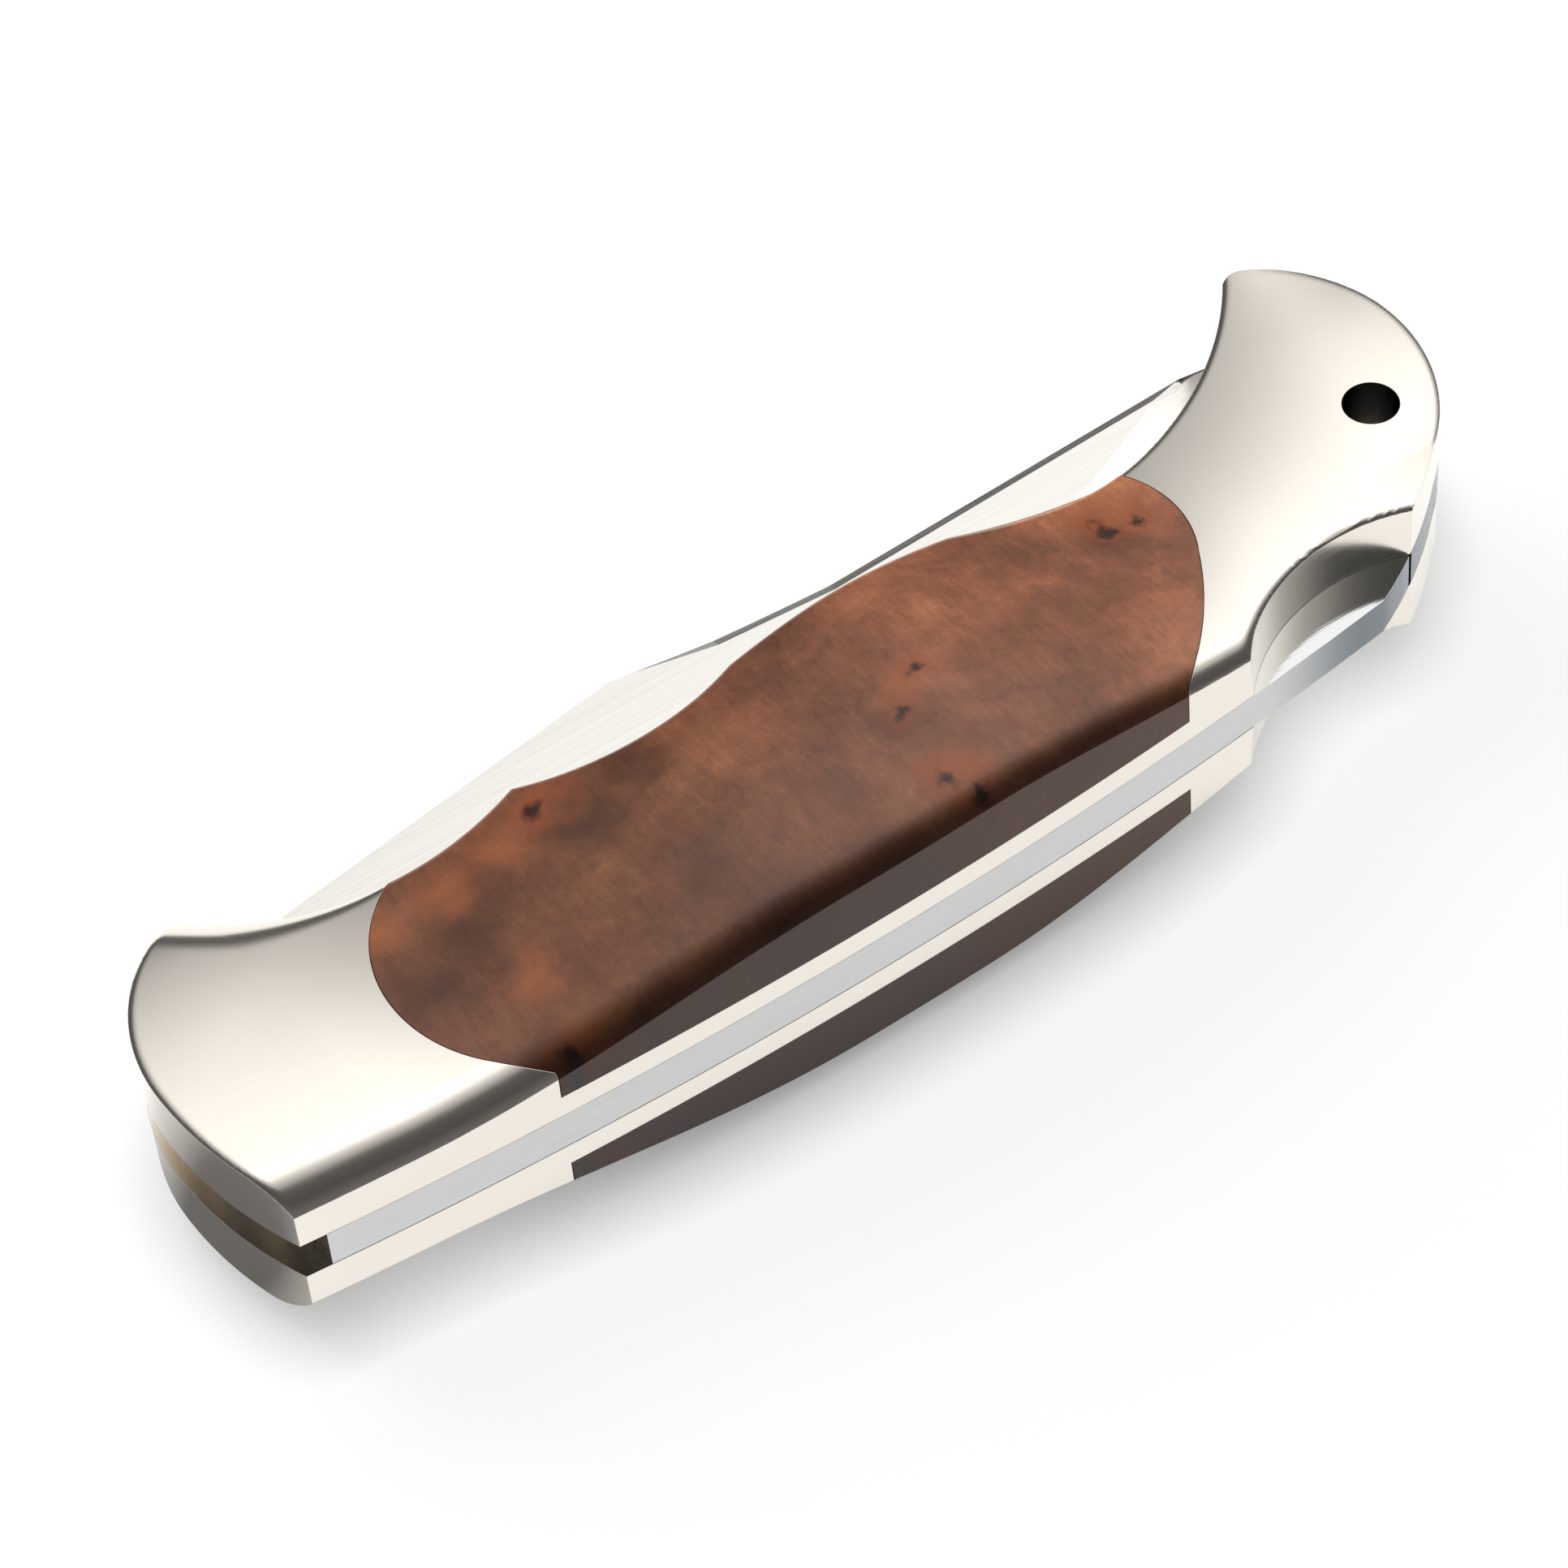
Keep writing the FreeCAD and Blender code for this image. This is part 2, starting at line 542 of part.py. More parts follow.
def flush_pin(name, core):
    """Pin through both halves, ground flush with their faces."""
    upper = common(name + "_upper", core, half)
    lower = mirror(name + "_lower", upper)
    middle = cylinder(name + "_middle", (f"{core.Name}.Placement.Base.x", f"{core.Name}.Placement.Base.y"),
                      f"{core.Name}.Radius", "Places.mid_plane - Places.gap_half", "Places.gap_half * 2")
    return fuse(name, upper, middle, lower)


left_inlay = common("left_inlay", half, pocket)
frame_cuts = fuse("frame_cuts", pocket, thumb_notch, pivot_core, lower_core, upper_core, bar_pin_core, lanyard_core)
left_frame = cut("left_frame", half, frame_cuts)
right_inlay = mirror("right_inlay", left_inlay)
right_frame = mirror("right_frame", left_frame)
pivot_pin = flush_pin("pivot_pin", pivot_core)
lower_rear_rivet = flush_pin("lower_rear_rivet", lower_core)
upper_rear_rivet = flush_pin("upper_rear_rivet", upper_core)
lock_bar_pin = cylinder("lock_bar_pin", bar_pin, "Sizes.bar_pin_radius",
                        "2 * Places.mid_plane - Places.wood_seat", "2 * (Places.wood_seat - Places.mid_plane)")

# Bronze washers on the pivot.
washer_ring = ((pivot[0], f"{pivot[1]} - Places.washer_radius"), (pivot[0], f"{pivot[1]} + Places.washer_radius"))
washer_sides = (
    ((f"{pivot[0]} + Places.washer_radius", pivot[1]), washer_ring[1]),
    ((f"{pivot[0]} - Places.washer_radius", pivot[1]), washer_ring[0]),
)
pivot_hole = ((pivot, "Sizes.pivot_radius + Sizes.pin_clearance"),)
left_pivot_washer = pad("left_pivot_washer", "Places.inner_face - Sizes.washer_thickness", "Sizes.washer_thickness",
                        washer_ring[0], washer_sides, pivot_hole)
right_pivot_washer = mirror("right_pivot_washer", left_pivot_washer)

# Blade, closed, ground from the flat sides to the cutting edge and round the belly to the tip.
blade_back = (
    (("Places.shoulder_x", "Places.shoulder_foot_y"),),
    (("Places.notch_wall_x", "Places.notch_wall_y"),),
    (("Places.notch_wall_x", "Places.land_start_y"),),
    (polar("150"), polar("Places.flat_turn - Places.flat_half")),
    (polar("Places.flat_turn + Places.flat_half"),),
    (polar("(Places.flat_turn + Places.flat_half + Sizes.tang_turn) / 2"), polar("Sizes.tang_turn")),
    (("Places.ricasso_x", "Places.edge_y"),),
    (at(plunge_shares),),
)
blade_spine = (
    (at(swedge_end_shares),),
    (at(swedge_shares), at(spine_break_shares)),
    (("Places.shoulder_x", "Places.shoulder_top_y"),),
)
blade_edge = (
    (at(edge_start_shares),),
    (at(edge_turn_shares),),
    (at(belly_edge_shares), at(tip_shares)),
)
blade_grind = (
    (at(plunge_side_shares), at(grind_start_shares)),
    (at(grind_turn_shares),),
    (at(grind_belly_shares), at(grind_end_shares)),
)
blade_start = ("Places.shoulder_x", "Places.shoulder_top_y")
edge_sketch = draw("blade_outline", blade_start, blade_back + blade_edge + blade_spine)
web_sketch = draw("blade_web_outline", blade_start, blade_back + blade_edge + blade_spine)
flat_sketch = draw("blade_flat_outline", blade_start, blade_back + blade_grind + blade_spine)
edge_sketch.setExpression("Placement.Base.z", "Places.mid_plane + Sizes.edge_thickness / 2")
flat_sketch.setExpression("Placement.Base.z", "Places.mid_plane + Sizes.blade_thickness / 2")
ground_half = doc.addObject("Part::Loft", "blade_ground_half")
ground_half.Sections = [edge_sketch, flat_sketch]
ground_half.Solid = True
ground_half.Ruled = True
blade_web = prism("blade_web", web_sketch, "Places.mid_plane - Sizes.edge_thickness / 2", "Sizes.edge_thickness")
blade_block = fuse("blade_block", ground_half, blade_web, mirror("blade_far_half", ground_half))
blade_bore = cylinder("blade_bore", pivot, "Sizes.pivot_radius + Sizes.pin_clearance", "0", "Places.top_height")

# Bevel along the back of the blade, from nothing at the break of the spine to past the tip.
bevels = []
blade_side = "Places.mid_plane + Sizes.blade_thickness / 2"
bevel_slope = "Sizes.swedge_depth / Sizes.swedge_width"
for shares in (spine_break_shares, swedge_shares, swedge_end_shares, past_tip_shares):
    full = bevel_start_share if shares == spine_break_shares else 1
    back = across(shares[1])
    low = (f"{back} + Sizes.cut_overrun", f"{blade_side} - Sizes.swedge_depth * {full} - Sizes.cut_overrun * {bevel_slope}")
    high = (f"{back} + Sizes.cut_overrun", f"{blade_side} + Sizes.cut_overrun")
    inner = (f"{back} - Sizes.swedge_width * {full} - Sizes.cut_overrun", f"{blade_side} + Sizes.cut_overrun * {bevel_slope}")
    bevels.append(stand(draw(f"bevel_{len(bevels) + 1}", low, ((high,), (inner,), (low,))), shares[0]))
bevel_cut = doc.addObject("Part::Loft", "bevel_cut")
bevel_cut.Sections = bevels
bevel_cut.Solid = True
bevel_cut.Ruled = True
blade_near_bevel = cut("blade_near_bevel", blade_block, bevel_cut)
blade_bevelled = cut("blade_bevelled", blade_near_bevel, mirror("far_bevel_cut", bevel_cut))
blade = cut("blade", blade_bevelled, blade_bore)

# Lock bar, flush with the back, its nose over the tang.
bar_sketch = draw("lock_bar_outline", ("Places.hook_front", pocket_back), (
    ((along(bar_rear_share), pocket_back),),
    ((along(bar_rear_share), across(bar_rear_inner_share)),),
    ((along(bar_turn_share), "Places.bar_inner_y"),),
    (("Places.relief_end_x", "Places.bar_inner_y"),),
    (("Places.pivot_x", "Places.pivot_y - Places.relief_radius"), ("Places.hook_rear", "Places.relief_rear_y")),
    (("Places.hook_rear", "Places.nose_rear_y"),),
    (("Places.hook_mid", "Places.nose_mid_y"), ("Places.hook_front", "Places.nose_front_y")),
    (("Places.hook_front", pocket_back),),
))
bar_block = prism("lock_bar_block", bar_sketch, "Places.mid_plane - Places.gap_half + Sizes.bar_side_play",
                  "2 * (Places.gap_half - Sizes.bar_side_play)")
lock_bar = cut("lock_bar", common("lock_bar_blank", bar_block, plan_block),
               cylinder("lock_bar_bore", bar_pin, "Sizes.bar_pin_radius + Sizes.pin_clearance",
                        "0", "Places.top_height"))

# Butt spacer with the slot of the leaf spring, hollowed for the swing of the blade's tip.
spacer_low = polar("(Places.tip_turn - 1)", "Places.tip_reach")
spacer_mid = polar("(Places.tip_turn + 1)", "Places.tip_reach")
spacer_high = polar("(Places.tip_turn + 3)", "Places.tip_reach")
spacer_end = along(1) + " + Sizes.cut_overrun"
spacer_sketch = draw("butt_spacer_outline", (along(spacer_front_share), pocket_back), (
    ((spacer_end, pocket_back),),
    ((spacer_end, spacer_high[1]),),
    (spacer_high,),
    (spacer_mid, spacer_low),
    (at(spacer_step_shares),),
    ((along(spacer_front_share), across(spacer_top_share)),),
    ((along(spacer_front_share), "Places.slot_high_y"),),
    ((along(slot_end_share), "Places.slot_high_y"),),
    ((along(slot_end_share), "Places.slot_low_y"),),
    ((along(spacer_front_share), "Places.slot_low_y"),),
    ((along(spacer_front_share), pocket_back),),
), (
    (lanyard, "Sizes.lanyard_radius"),
    (lower_rivet, "Sizes.rivet_radius"),
    (upper_rivet, "Sizes.rivet_radius"),
))
spacer_block = prism("butt_spacer_block", spacer_sketch, "Places.mid_plane - Places.gap_half", "2 * Places.gap_half")
butt_spacer = common("butt_spacer", spacer_block, plan_block)

# Leaf spring, held in the spacer, its tip on the lock bar.
spring_mid = along((spring_tip_share + spacer_front_share) / 2)
lock_spring = pad("lock_spring", "Places.mid_plane - Places.gap_half + Sizes.spring_side_play",
                  "2 * (Places.gap_half - Sizes.spring_side_play)",
                  (along(slot_end_share), "Places.slot_low_y"), (
    ((along(slot_end_share), "Places.slot_high_y"),),
    ((along(spacer_front_share), "Places.slot_high_y"),),
    ((spring_mid, across(spring_sag_share) + " + Sizes.spring_thickness"),
     (along(spring_tip_share), "Places.spring_tip_y + Sizes.spring_thickness")),
    ((along(spring_tip_share), "Places.spring_tip_y"),),
    ((spring_mid, across(spring_sag_share)), (along(spacer_front_share), "Places.slot_low_y")),
    ((along(slot_end_share), "Places.slot_low_y"),),
))

doc.recompute()
NODES = (
    left_frame, right_frame, left_inlay, right_inlay, blade, lock_bar, lock_spring, butt_spacer, pivot_pin,
    left_pivot_washer, right_pivot_washer, lock_bar_pin, lower_rear_rivet, upper_rear_rivet,
)
for item in doc.Objects:
    if "Invalid" in item.State or "Error" in item.State:
        raise RuntimeError(f"{item.Name} did not compute: {item.State}")
os.makedirs("parts", exist_ok=True)
for item in NODES:
    if item.Shape.isNull() or not item.Shape.isValid():
        raise RuntimeError(f"{item.Label} is not a valid shape")
    item.Shape.exportStep(f"parts/{item.Label}.step")
    print(item.Label, len(item.Shape.Solids), round(item.Shape.Volume, 1))
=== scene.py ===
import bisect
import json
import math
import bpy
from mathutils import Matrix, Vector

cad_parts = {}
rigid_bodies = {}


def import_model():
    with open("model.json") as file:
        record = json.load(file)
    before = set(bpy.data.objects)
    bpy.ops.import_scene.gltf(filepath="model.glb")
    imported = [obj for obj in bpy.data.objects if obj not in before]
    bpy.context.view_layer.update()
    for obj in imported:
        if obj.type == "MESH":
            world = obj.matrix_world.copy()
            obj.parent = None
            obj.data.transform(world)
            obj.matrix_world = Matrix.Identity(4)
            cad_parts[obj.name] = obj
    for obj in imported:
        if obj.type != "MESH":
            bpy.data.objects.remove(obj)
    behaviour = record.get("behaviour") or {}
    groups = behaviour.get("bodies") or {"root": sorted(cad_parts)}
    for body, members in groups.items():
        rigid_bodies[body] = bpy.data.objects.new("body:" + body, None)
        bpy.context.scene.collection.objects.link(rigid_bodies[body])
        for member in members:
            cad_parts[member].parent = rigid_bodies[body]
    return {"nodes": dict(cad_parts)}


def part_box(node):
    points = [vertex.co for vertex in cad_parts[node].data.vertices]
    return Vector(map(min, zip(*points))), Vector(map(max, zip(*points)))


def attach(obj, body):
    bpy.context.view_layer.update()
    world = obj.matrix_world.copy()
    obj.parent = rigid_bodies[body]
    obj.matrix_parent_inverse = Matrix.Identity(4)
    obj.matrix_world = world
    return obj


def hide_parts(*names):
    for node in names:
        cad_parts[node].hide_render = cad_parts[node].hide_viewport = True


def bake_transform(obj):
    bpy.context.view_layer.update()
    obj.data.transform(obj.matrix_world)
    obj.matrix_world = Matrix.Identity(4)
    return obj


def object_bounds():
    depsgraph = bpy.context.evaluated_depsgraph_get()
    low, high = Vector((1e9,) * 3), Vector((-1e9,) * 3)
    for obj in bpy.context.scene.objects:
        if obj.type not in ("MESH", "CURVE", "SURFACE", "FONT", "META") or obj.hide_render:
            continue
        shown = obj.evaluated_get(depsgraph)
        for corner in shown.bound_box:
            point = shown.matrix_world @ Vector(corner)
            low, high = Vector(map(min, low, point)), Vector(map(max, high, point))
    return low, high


bl_info = {
    "name": "Folding Knife",
    "version": (1, 0, 0),
    "blender": (4, 5, 0),
    "location": "View3D > Sidebar > Knife",
    "description": "Dresses the CAD folding knife in satin metal, burl wood and steel, on a white table",
    "category": "Add Mesh",
}

import bpy
from mathutils import Matrix, Vector

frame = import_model()
cad_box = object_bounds()

MM = 0.001

# Plan of the handle in shares of its length, from the front end, and of its width, from the back.
# Every round is its start, a point that it passes and its end.
LOWER_FRONT = ((0.0246, 0.0558), (0.00594, 0.24375), (0, 0.4317))
UPPER_FRONT = ((0, 0.4317), (0.01557, 0.6426), (0.0836, 0.8535))
BLADE_SIDE = (
    ((0.0836, 0.8535), (0.198, 0.645), (0.3002, 0.665)),
    ((0.3002, 0.665), (0.376, 0.599), (0.4626, 0.6459)),
    ((0.4626, 0.6459), (0.6086, 0.6965), (0.7473, 0.6545)),
    ((0.7473, 0.6545), (0.8549, 0.7673), (0.9316, 0.9911)),
)
BEAK = ((0.9316, 0.9911), (0.9393, 1), (0.9471, 0.9925))
UPPER_BUTT = ((0.9471, 0.9925), (0.98921, 0.82995), (1, 0.6674))
LOWER_BUTT = ((1, 0.6674), (0.98868, 0.4854), (0.9464, 0.3034))
BACK_SIDE = (
    ((0.9464, 0.3034), (0.9033, 0.19), (0.8586, 0.1065)),
    ((0.8586, 0.1065), (0.3786, 0), (0.0246, 0.0558)),
)

# Plan of the inlay: its front end, and its rear end in two rounds. It runs out over both sides.
INLAY_FRONT = ((0.2056, 0.0224), (0.1505, 0.3213), (0.2037, 0.6429))
INLAY_REAR = (
    ((0.7719, 0.6703), (0.7819, 0.5212), (0.7664, 0.3541)),
    ((0.7664, 0.3541), (0.7318, 0.1871), (0.688, 0.0483)),
)
NOTCH_CENTRE = (0.8451, -0.2458)
LANYARD_CENTRE = (0.9352, 0.4764)

# Points that carry the lines of the sides and ends on past the corners of the plan.
BACK_BEFORE = ((-0.03, 0.074),)
BACK_AFTER = ((1.02, 0.19),)
BLADE_BEFORE = ((-0.03, 1.25), (0.0246, 1.05), (0.055, 0.952))
BLADE_AFTER = ((1.02, 1.37),)
FRONT_BEFORE = ((0.045, -0.1),)
FRONT_AFTER = ((0.25, 1.1),)
BUTT_BEFORE = ((0.915, -0.1), (0.935, 0.2))
BUTT_AFTER = ((1, 0.7), (1, 1.2))

# Along the handle: how wide the rolled edges of the back and the blade side are, as shares of their radii,
# and how much higher the blade side's crease lies than the back's, in millimetres.
BACK_ROLLS = ((0, 1.15), (0.1, 1.08), (0.2, 0.9), (0.5, 0.68), (0.7, 0.62), (1, 0.62))
BLADE_ROLLS = ((0, 1), (0.1, 1), (0.15, 0.55), (0.2, 0.2), (0.35, 0.13), (1, 0.12))
BLADE_LIFTS = ((0, -0.4), (0.1, -0.4), (0.2, 0.2), (0.45, 0.3), (0.6, 0), (0.77, -0.4), (1, -0.4))

# The palm swell along the handle: its middle, its reach to front and rear, and half of its level top.
SWELL_MIDDLE = 0.4717
SWELL_FRONT = 0.365
SWELL_REAR = 0.3376
SWELL_LEVEL = 0.05

# What the metal mirrors: brightness from the walls, 0, up to the ceiling light, 1.
CEILING = (
    (0.0, 0.09), (0.26, 0.05), (0.65, 0.07), (0.73, 0.18), (0.79, 0.33), (0.855, 0.42), (0.89, 0.58),
    (0.922, 0.8), (0.97, 1.0),
)

# Lamps: name, place and side in metres, and watts.
LAMPS = (
    ("Back softbox", (-0.2, 0.75, 0.62), 0.7, 12.0),
    ("Ceiling softbox", (0.0, 0.1, 0.9), 1.0, 0.8),
)


def linear(text, alpha=1.0):
    """Linear colour of an sRGB hex value."""
    parts = [int(text[place:place + 2], 16) / 255 for place in (1, 3, 5)]
    return [part / 12.92 if part <= 0.04045 else ((part + 0.055) / 1.055) ** 2.4 for part in parts] + [alpha]


class KnifeSizes(bpy.types.PropertyGroup):
    """Sizes of the domed outer form, as in the CAD, and of the finish."""

    middle: bpy.props.FloatProperty(
        name="Middle", description="Middle plane above the table",
        default=(cad_box[0][2] + cad_box[1][2]) / 2, unit="LENGTH", precision=6)
    inner_face: bpy.props.FloatProperty(
        name="Inner face", description="Liner's inner face from the middle plane",
        default=1.72 * MM, unit="LENGTH", precision=6)
    wood_seat: bpy.props.FloatProperty(
        name="Wood seat", description="Seat of the inlay from the middle plane",
        default=3.67 * MM, unit="LENGTH", precision=6)
    front_rim: bpy.props.FloatProperty(
        name="Front rim", description="Crease above the middle plane at the front end",
        default=4.85 * MM, unit="LENGTH", precision=6)
    rear_rim: bpy.props.FloatProperty(
        name="Rear rim", description="Crease above the middle plane at the butt",
        default=5.3 * MM, unit="LENGTH", precision=6)
    palm_swell: bpy.props.FloatProperty(
        name="Palm swell", description="Extra height of the crease at the middle of the grip",
        default=3.2 * MM, unit="LENGTH", precision=6)
    roll: bpy.props.FloatProperty(
        name="Back roll", description="Radius of the rolled edge along the back at the front",
        default=3.6 * MM, unit="LENGTH", precision=6)
    blade_roll: bpy.props.FloatProperty(
        name="Blade side roll", description="Radius of the rolled edge at the front of the blade side",
        default=6.2 * MM, unit="LENGTH", precision=6)
    blade_tilt: bpy.props.FloatProperty(
        name="Blade side tilt", description="Slope of the rolled edge at the crease of the blade side",
        default=math.radians(35), subtype="ANGLE")
    front_fall: bpy.props.FloatProperty(
        name="Front fall", description="How far the top falls to the front end",
        default=0.55 * MM, unit="LENGTH", precision=6)
    front_ramp: bpy.props.FloatProperty(
        name="Front slope", description="Length of the slope to the front end",
        default=14 * MM, unit="LENGTH", precision=6)
    front_slant: bpy.props.FloatProperty(
        name="Front slant", description="How fast the front slope fades from the blade side to the back",
        default=0.5)
    butt_fall: bpy.props.FloatProperty(
        name="Butt fall", description="How far the top falls to the butt",
        default=0.45 * MM, unit="LENGTH", precision=6)
    butt_ramp: bpy.props.FloatProperty(
        name="Butt slope", description="Length of the slope to the butt",
        default=9 * MM, unit="LENGTH", precision=6)
    end_blend: bpy.props.FloatProperty(
        name="Butt blend", description="Distance from both sides over which the butt's slope comes in",
        default=9 * MM, unit="LENGTH", precision=6)
    end_roll: bpy.props.FloatProperty(
        name="End roll", description="Radius of the broken edges of front end, butt and thumb notch",
        default=0.8 * MM, unit="LENGTH", precision=6)
    rim_tilt: bpy.props.FloatProperty(
        name="Rim tilt", description="Slope of the rolled edges at the crease",
        default=math.radians(60), subtype="ANGLE")
    crown: bpy.props.FloatProperty(
        name="Crown", description="Crown of the grip above the rolled edges",
        default=0.75 * MM, unit="LENGTH", precision=6)
    end_crown: bpy.props.FloatProperty(
        name="End crown", description="Crown of front and rear bolster above the rolled edges",
        default=0.2 * MM, unit="LENGTH", precision=6)
    cell: bpy.props.FloatProperty(
        name="Cell", description="Grid of the domed surface",
        default=0.24 * MM, unit="LENGTH", precision=6)
    margin: bpy.props.FloatProperty(
        name="Margin", description="How much longer and wider than the plan the grid is before it is cut",
        default=1.2 * MM, unit="LENGTH", precision=6)
    least_height: bpy.props.FloatProperty(
        name="Least height", description="Lowest height of the grid, outside the plan",
        default=2.2 * MM, unit="LENGTH", precision=6)
    edge_fade: bpy.props.FloatProperty(
        name="Edge fade", description="Height above the crease over which the broken edges come in",
        default=1.4 * MM, unit="LENGTH", precision=6)
    cut_top: bpy.props.FloatProperty(
        name="Cut top", description="Top of the cutting blocks from the middle plane, above everything",
        default=16 * MM, unit="LENGTH", precision=6)
    overrun: bpy.props.FloatProperty(
        name="Overrun", description="How far the inlay's block runs out over the sides of the handle",
        default=4 * MM, unit="LENGTH", precision=6)
    notch: bpy.props.FloatProperty(
        name="Thumb notch", description="Radius of the thumb notch at the liner",
        default=15.3 * MM, unit="LENGTH", precision=6)
    notch_flare: bpy.props.FloatProperty(
        name="Notch flare", description="Widening of the thumb notch to the outside",
        default=0.15 * MM, unit="LENGTH", precision=6)
    lanyard: bpy.props.FloatProperty(
        name="Lanyard hole", description="Radius of the lanyard hole",
        default=2.1 * MM, unit="LENGTH", precision=6)
    pin_reach: bpy.props.FloatProperty(
        name="Pin reach", description="Ends of the flush pins from the middle plane, under the polish",
        default=4.3 * MM, unit="LENGTH", precision=6)
    joint: bpy.props.FloatProperty(
        name="Joint", description="Fine open joint between wood and metal at the ends of the inlay",
        default=0.07 * MM, unit="LENGTH", precision=6)
    weld: bpy.props.FloatProperty(
        name="Weld", description="Distance at which points of a copied CAD mesh are joined",
        default=0.002 * MM, unit="LENGTH", precision=6)
    steel_edge: bpy.props.FloatProperty(
        name="Steel edge", description="Broken edge of lock bar and spacer",
        default=0.12 * MM, unit="LENGTH", precision=6)
    smooth_angle: bpy.props.FloatProperty(
        name="Smooth angle", description="Faces meeting flatter than this are shaded as one curve",
        default=math.radians(20), subtype="ANGLE")
    facet_angle: bpy.props.FloatProperty(
        name="Facet angle", description="The same for the blade, whose ground faces meet at flat angles",
        default=math.radians(2.5), subtype="ANGLE")
    flat_angle: bpy.props.FloatProperty(
        name="Flat angle", description="Faces of a copied CAD mesh that meet flatter than this are joined",
        default=math.radians(0.4), subtype="ANGLE")
    sharp_angle: bpy.props.FloatProperty(
        name="Sharp angle", description="Edges sharper than this are broken on lock bar and spacer",
        default=math.radians(40), subtype="ANGLE")


class KnifeColours(bpy.types.PropertyGroup):
    """Colours of the finishes."""

    nickel_silver: bpy.props.FloatVectorProperty(
        name="Nickel silver", description="Frames and flush pins", subtype="COLOR", size=4,
        default=linear("#E7E0D6"))
    blade_steel: bpy.props.FloatVectorProperty(
        name="Blade steel", description="Satin blade", subtype="COLOR", size=4, default=linear("#D9D6D1"))
    bar_steel: bpy.props.FloatVectorProperty(
        name="Lock bar steel", description="Brushed lock bar and spacer", subtype="COLOR", size=4,
        default=linear("#C6C7C6"))
    # Painted shade: the washers' bronze is darkened to stand for the shade they lie in.
    bronze: bpy.props.FloatVectorProperty(
        name="Bronze", description="Pivot washers", subtype="COLOR", size=4, default=linear("#6E5A3C"))
    wood_dark: bpy.props.FloatVectorProperty(
        name="Burl dark", description="Dark ground of the burl", subtype="COLOR", size=4,
        default=linear("#6C4330"))
    wood_brown: bpy.props.FloatVectorProperty(
        name="Burl brown", description="Middle ground of the burl", subtype="COLOR", size=4,
        default=linear("#955C40"))
    wood_light: bpy.props.FloatVectorProperty(
        name="Burl light", description="Light ground of the burl", subtype="COLOR", size=4,
        default=linear("#B57650"))
    wood_smudge: bpy.props.FloatVectorProperty(
        name="Burl smudge", description="Dark smudges of the burl", subtype="COLOR", size=4,
        default=linear("#40261A"))
    wood_flame: bpy.props.FloatVectorProperty(
        name="Burl flame", description="Orange flames of the burl", subtype="COLOR", size=4,
        default=linear("#B06438"))
    wood_halo: bpy.props.FloatVectorProperty(
        name="Burl halo", description="Red wood round the eyes", subtype="COLOR", size=4,
        default=linear("#A5552F"))
    wood_eye: bpy.props.FloatVectorProperty(
        name="Burl eye", description="Black eyes of the burl", subtype="COLOR", size=4,
        default=linear("#1A0D0A"))
    # Painted shade: this colour darkens the wall of the lanyard hole to stand for the shade in it.
    painted_bore_shade: bpy.props.FloatVectorProperty(
        name="Shaded bore", description="Wall of the lanyard hole", subtype="COLOR", size=4,
        default=linear("#8A857C"))
    # Painted dark reflection: this colour darkens the lock bar's thumb end to stand for the dark surroundings
    # it mirrors.
    painted_dark_steel: bpy.props.FloatVectorProperty(
        name="Painted dark steel", description="Handled end of the lock bar", subtype="COLOR", size=4,
        default=linear("#5A636B"))
    table: bpy.props.FloatVectorProperty(
        name="Table", description="White table top", subtype="COLOR", size=4, default=linear("#707070"))


def sizes():
    return bpy.context.scene.knife_sizes


def colours():
    return bpy.context.scene.knife_colours


def add(tree, kind, inputs=None, **settings):
    """Adds a node with its settings, its input values and its links."""
    made = tree.nodes.new(kind)
    for name, value in settings.items():
        setattr(made, name, value)
    for name, value in (inputs or {}).items():
        if isinstance(value, bpy.types.NodeSocket):
            tree.links.new(value, made.inputs[name])
        else:
            made.inputs[name].default_value = value
    return made


def blank(name):
    """A new material with only its output node."""
    made = bpy.data.materials.new(name)
    made.use_nodes = True
    made.node_tree.nodes.clear()
    return made, made.node_tree, add(made.node_tree, "ShaderNodeOutputMaterial")


def pick(*pieces):
    """Selects just these objects."""
    if bpy.context.mode != "OBJECT":
        bpy.ops.object.mode_set(mode="OBJECT")
    bpy.ops.object.select_all(action="DESELECT")
    for piece in pieces:
        piece.select_set(True)
    bpy.context.view_layer.objects.active = pieces[-1]


def copied(node, name, joined=True):
    """A welded copy of a CAD node, its flat faces joined where wanted."""
    pick(frame["nodes"][node])
    bpy.ops.object.duplicate()
    piece = bpy.context.object
    piece.name = name
    bpy.ops.object.mode_set(mode="EDIT")
    bpy.ops.mesh.select_all(action="SELECT")
    bpy.ops.mesh.remove_doubles(threshold=sizes().weld)
    if joined:
        bpy.ops.mesh.dissolve_limited(angle_limit=sizes().flat_angle)
    bpy.ops.object.mode_set(mode="OBJECT")
    return piece


def spot(shares):
    """Place in plan, in metres, of shares of the handle."""
    low, high = cad_box
    return Vector((low[0] + (high[0] - low[0]) * shares[0], low[1] + (high[1] - low[1]) * shares[1]))


def circle_of(bend):
    """Centre and radius of a round of the plan."""
    a, b, c = (spot(shares) for shares in bend)
    far_a, far_b, far_c = a.length_squared, b.length_squared, c.length_squared
    turn = 2 * (a.x * (b.y - c.y) + b.x * (c.y - a.y) + c.x * (a.y - b.y))
    x = (far_a * (b.y - c.y) + far_b * (c.y - a.y) + far_c * (a.y - b.y)) / turn
    y = (far_a * (c.x - b.x) + far_b * (a.x - c.x) + far_c * (b.x - a.x)) / turn
    centre = Vector((x, y))
    return centre, (a - centre).length


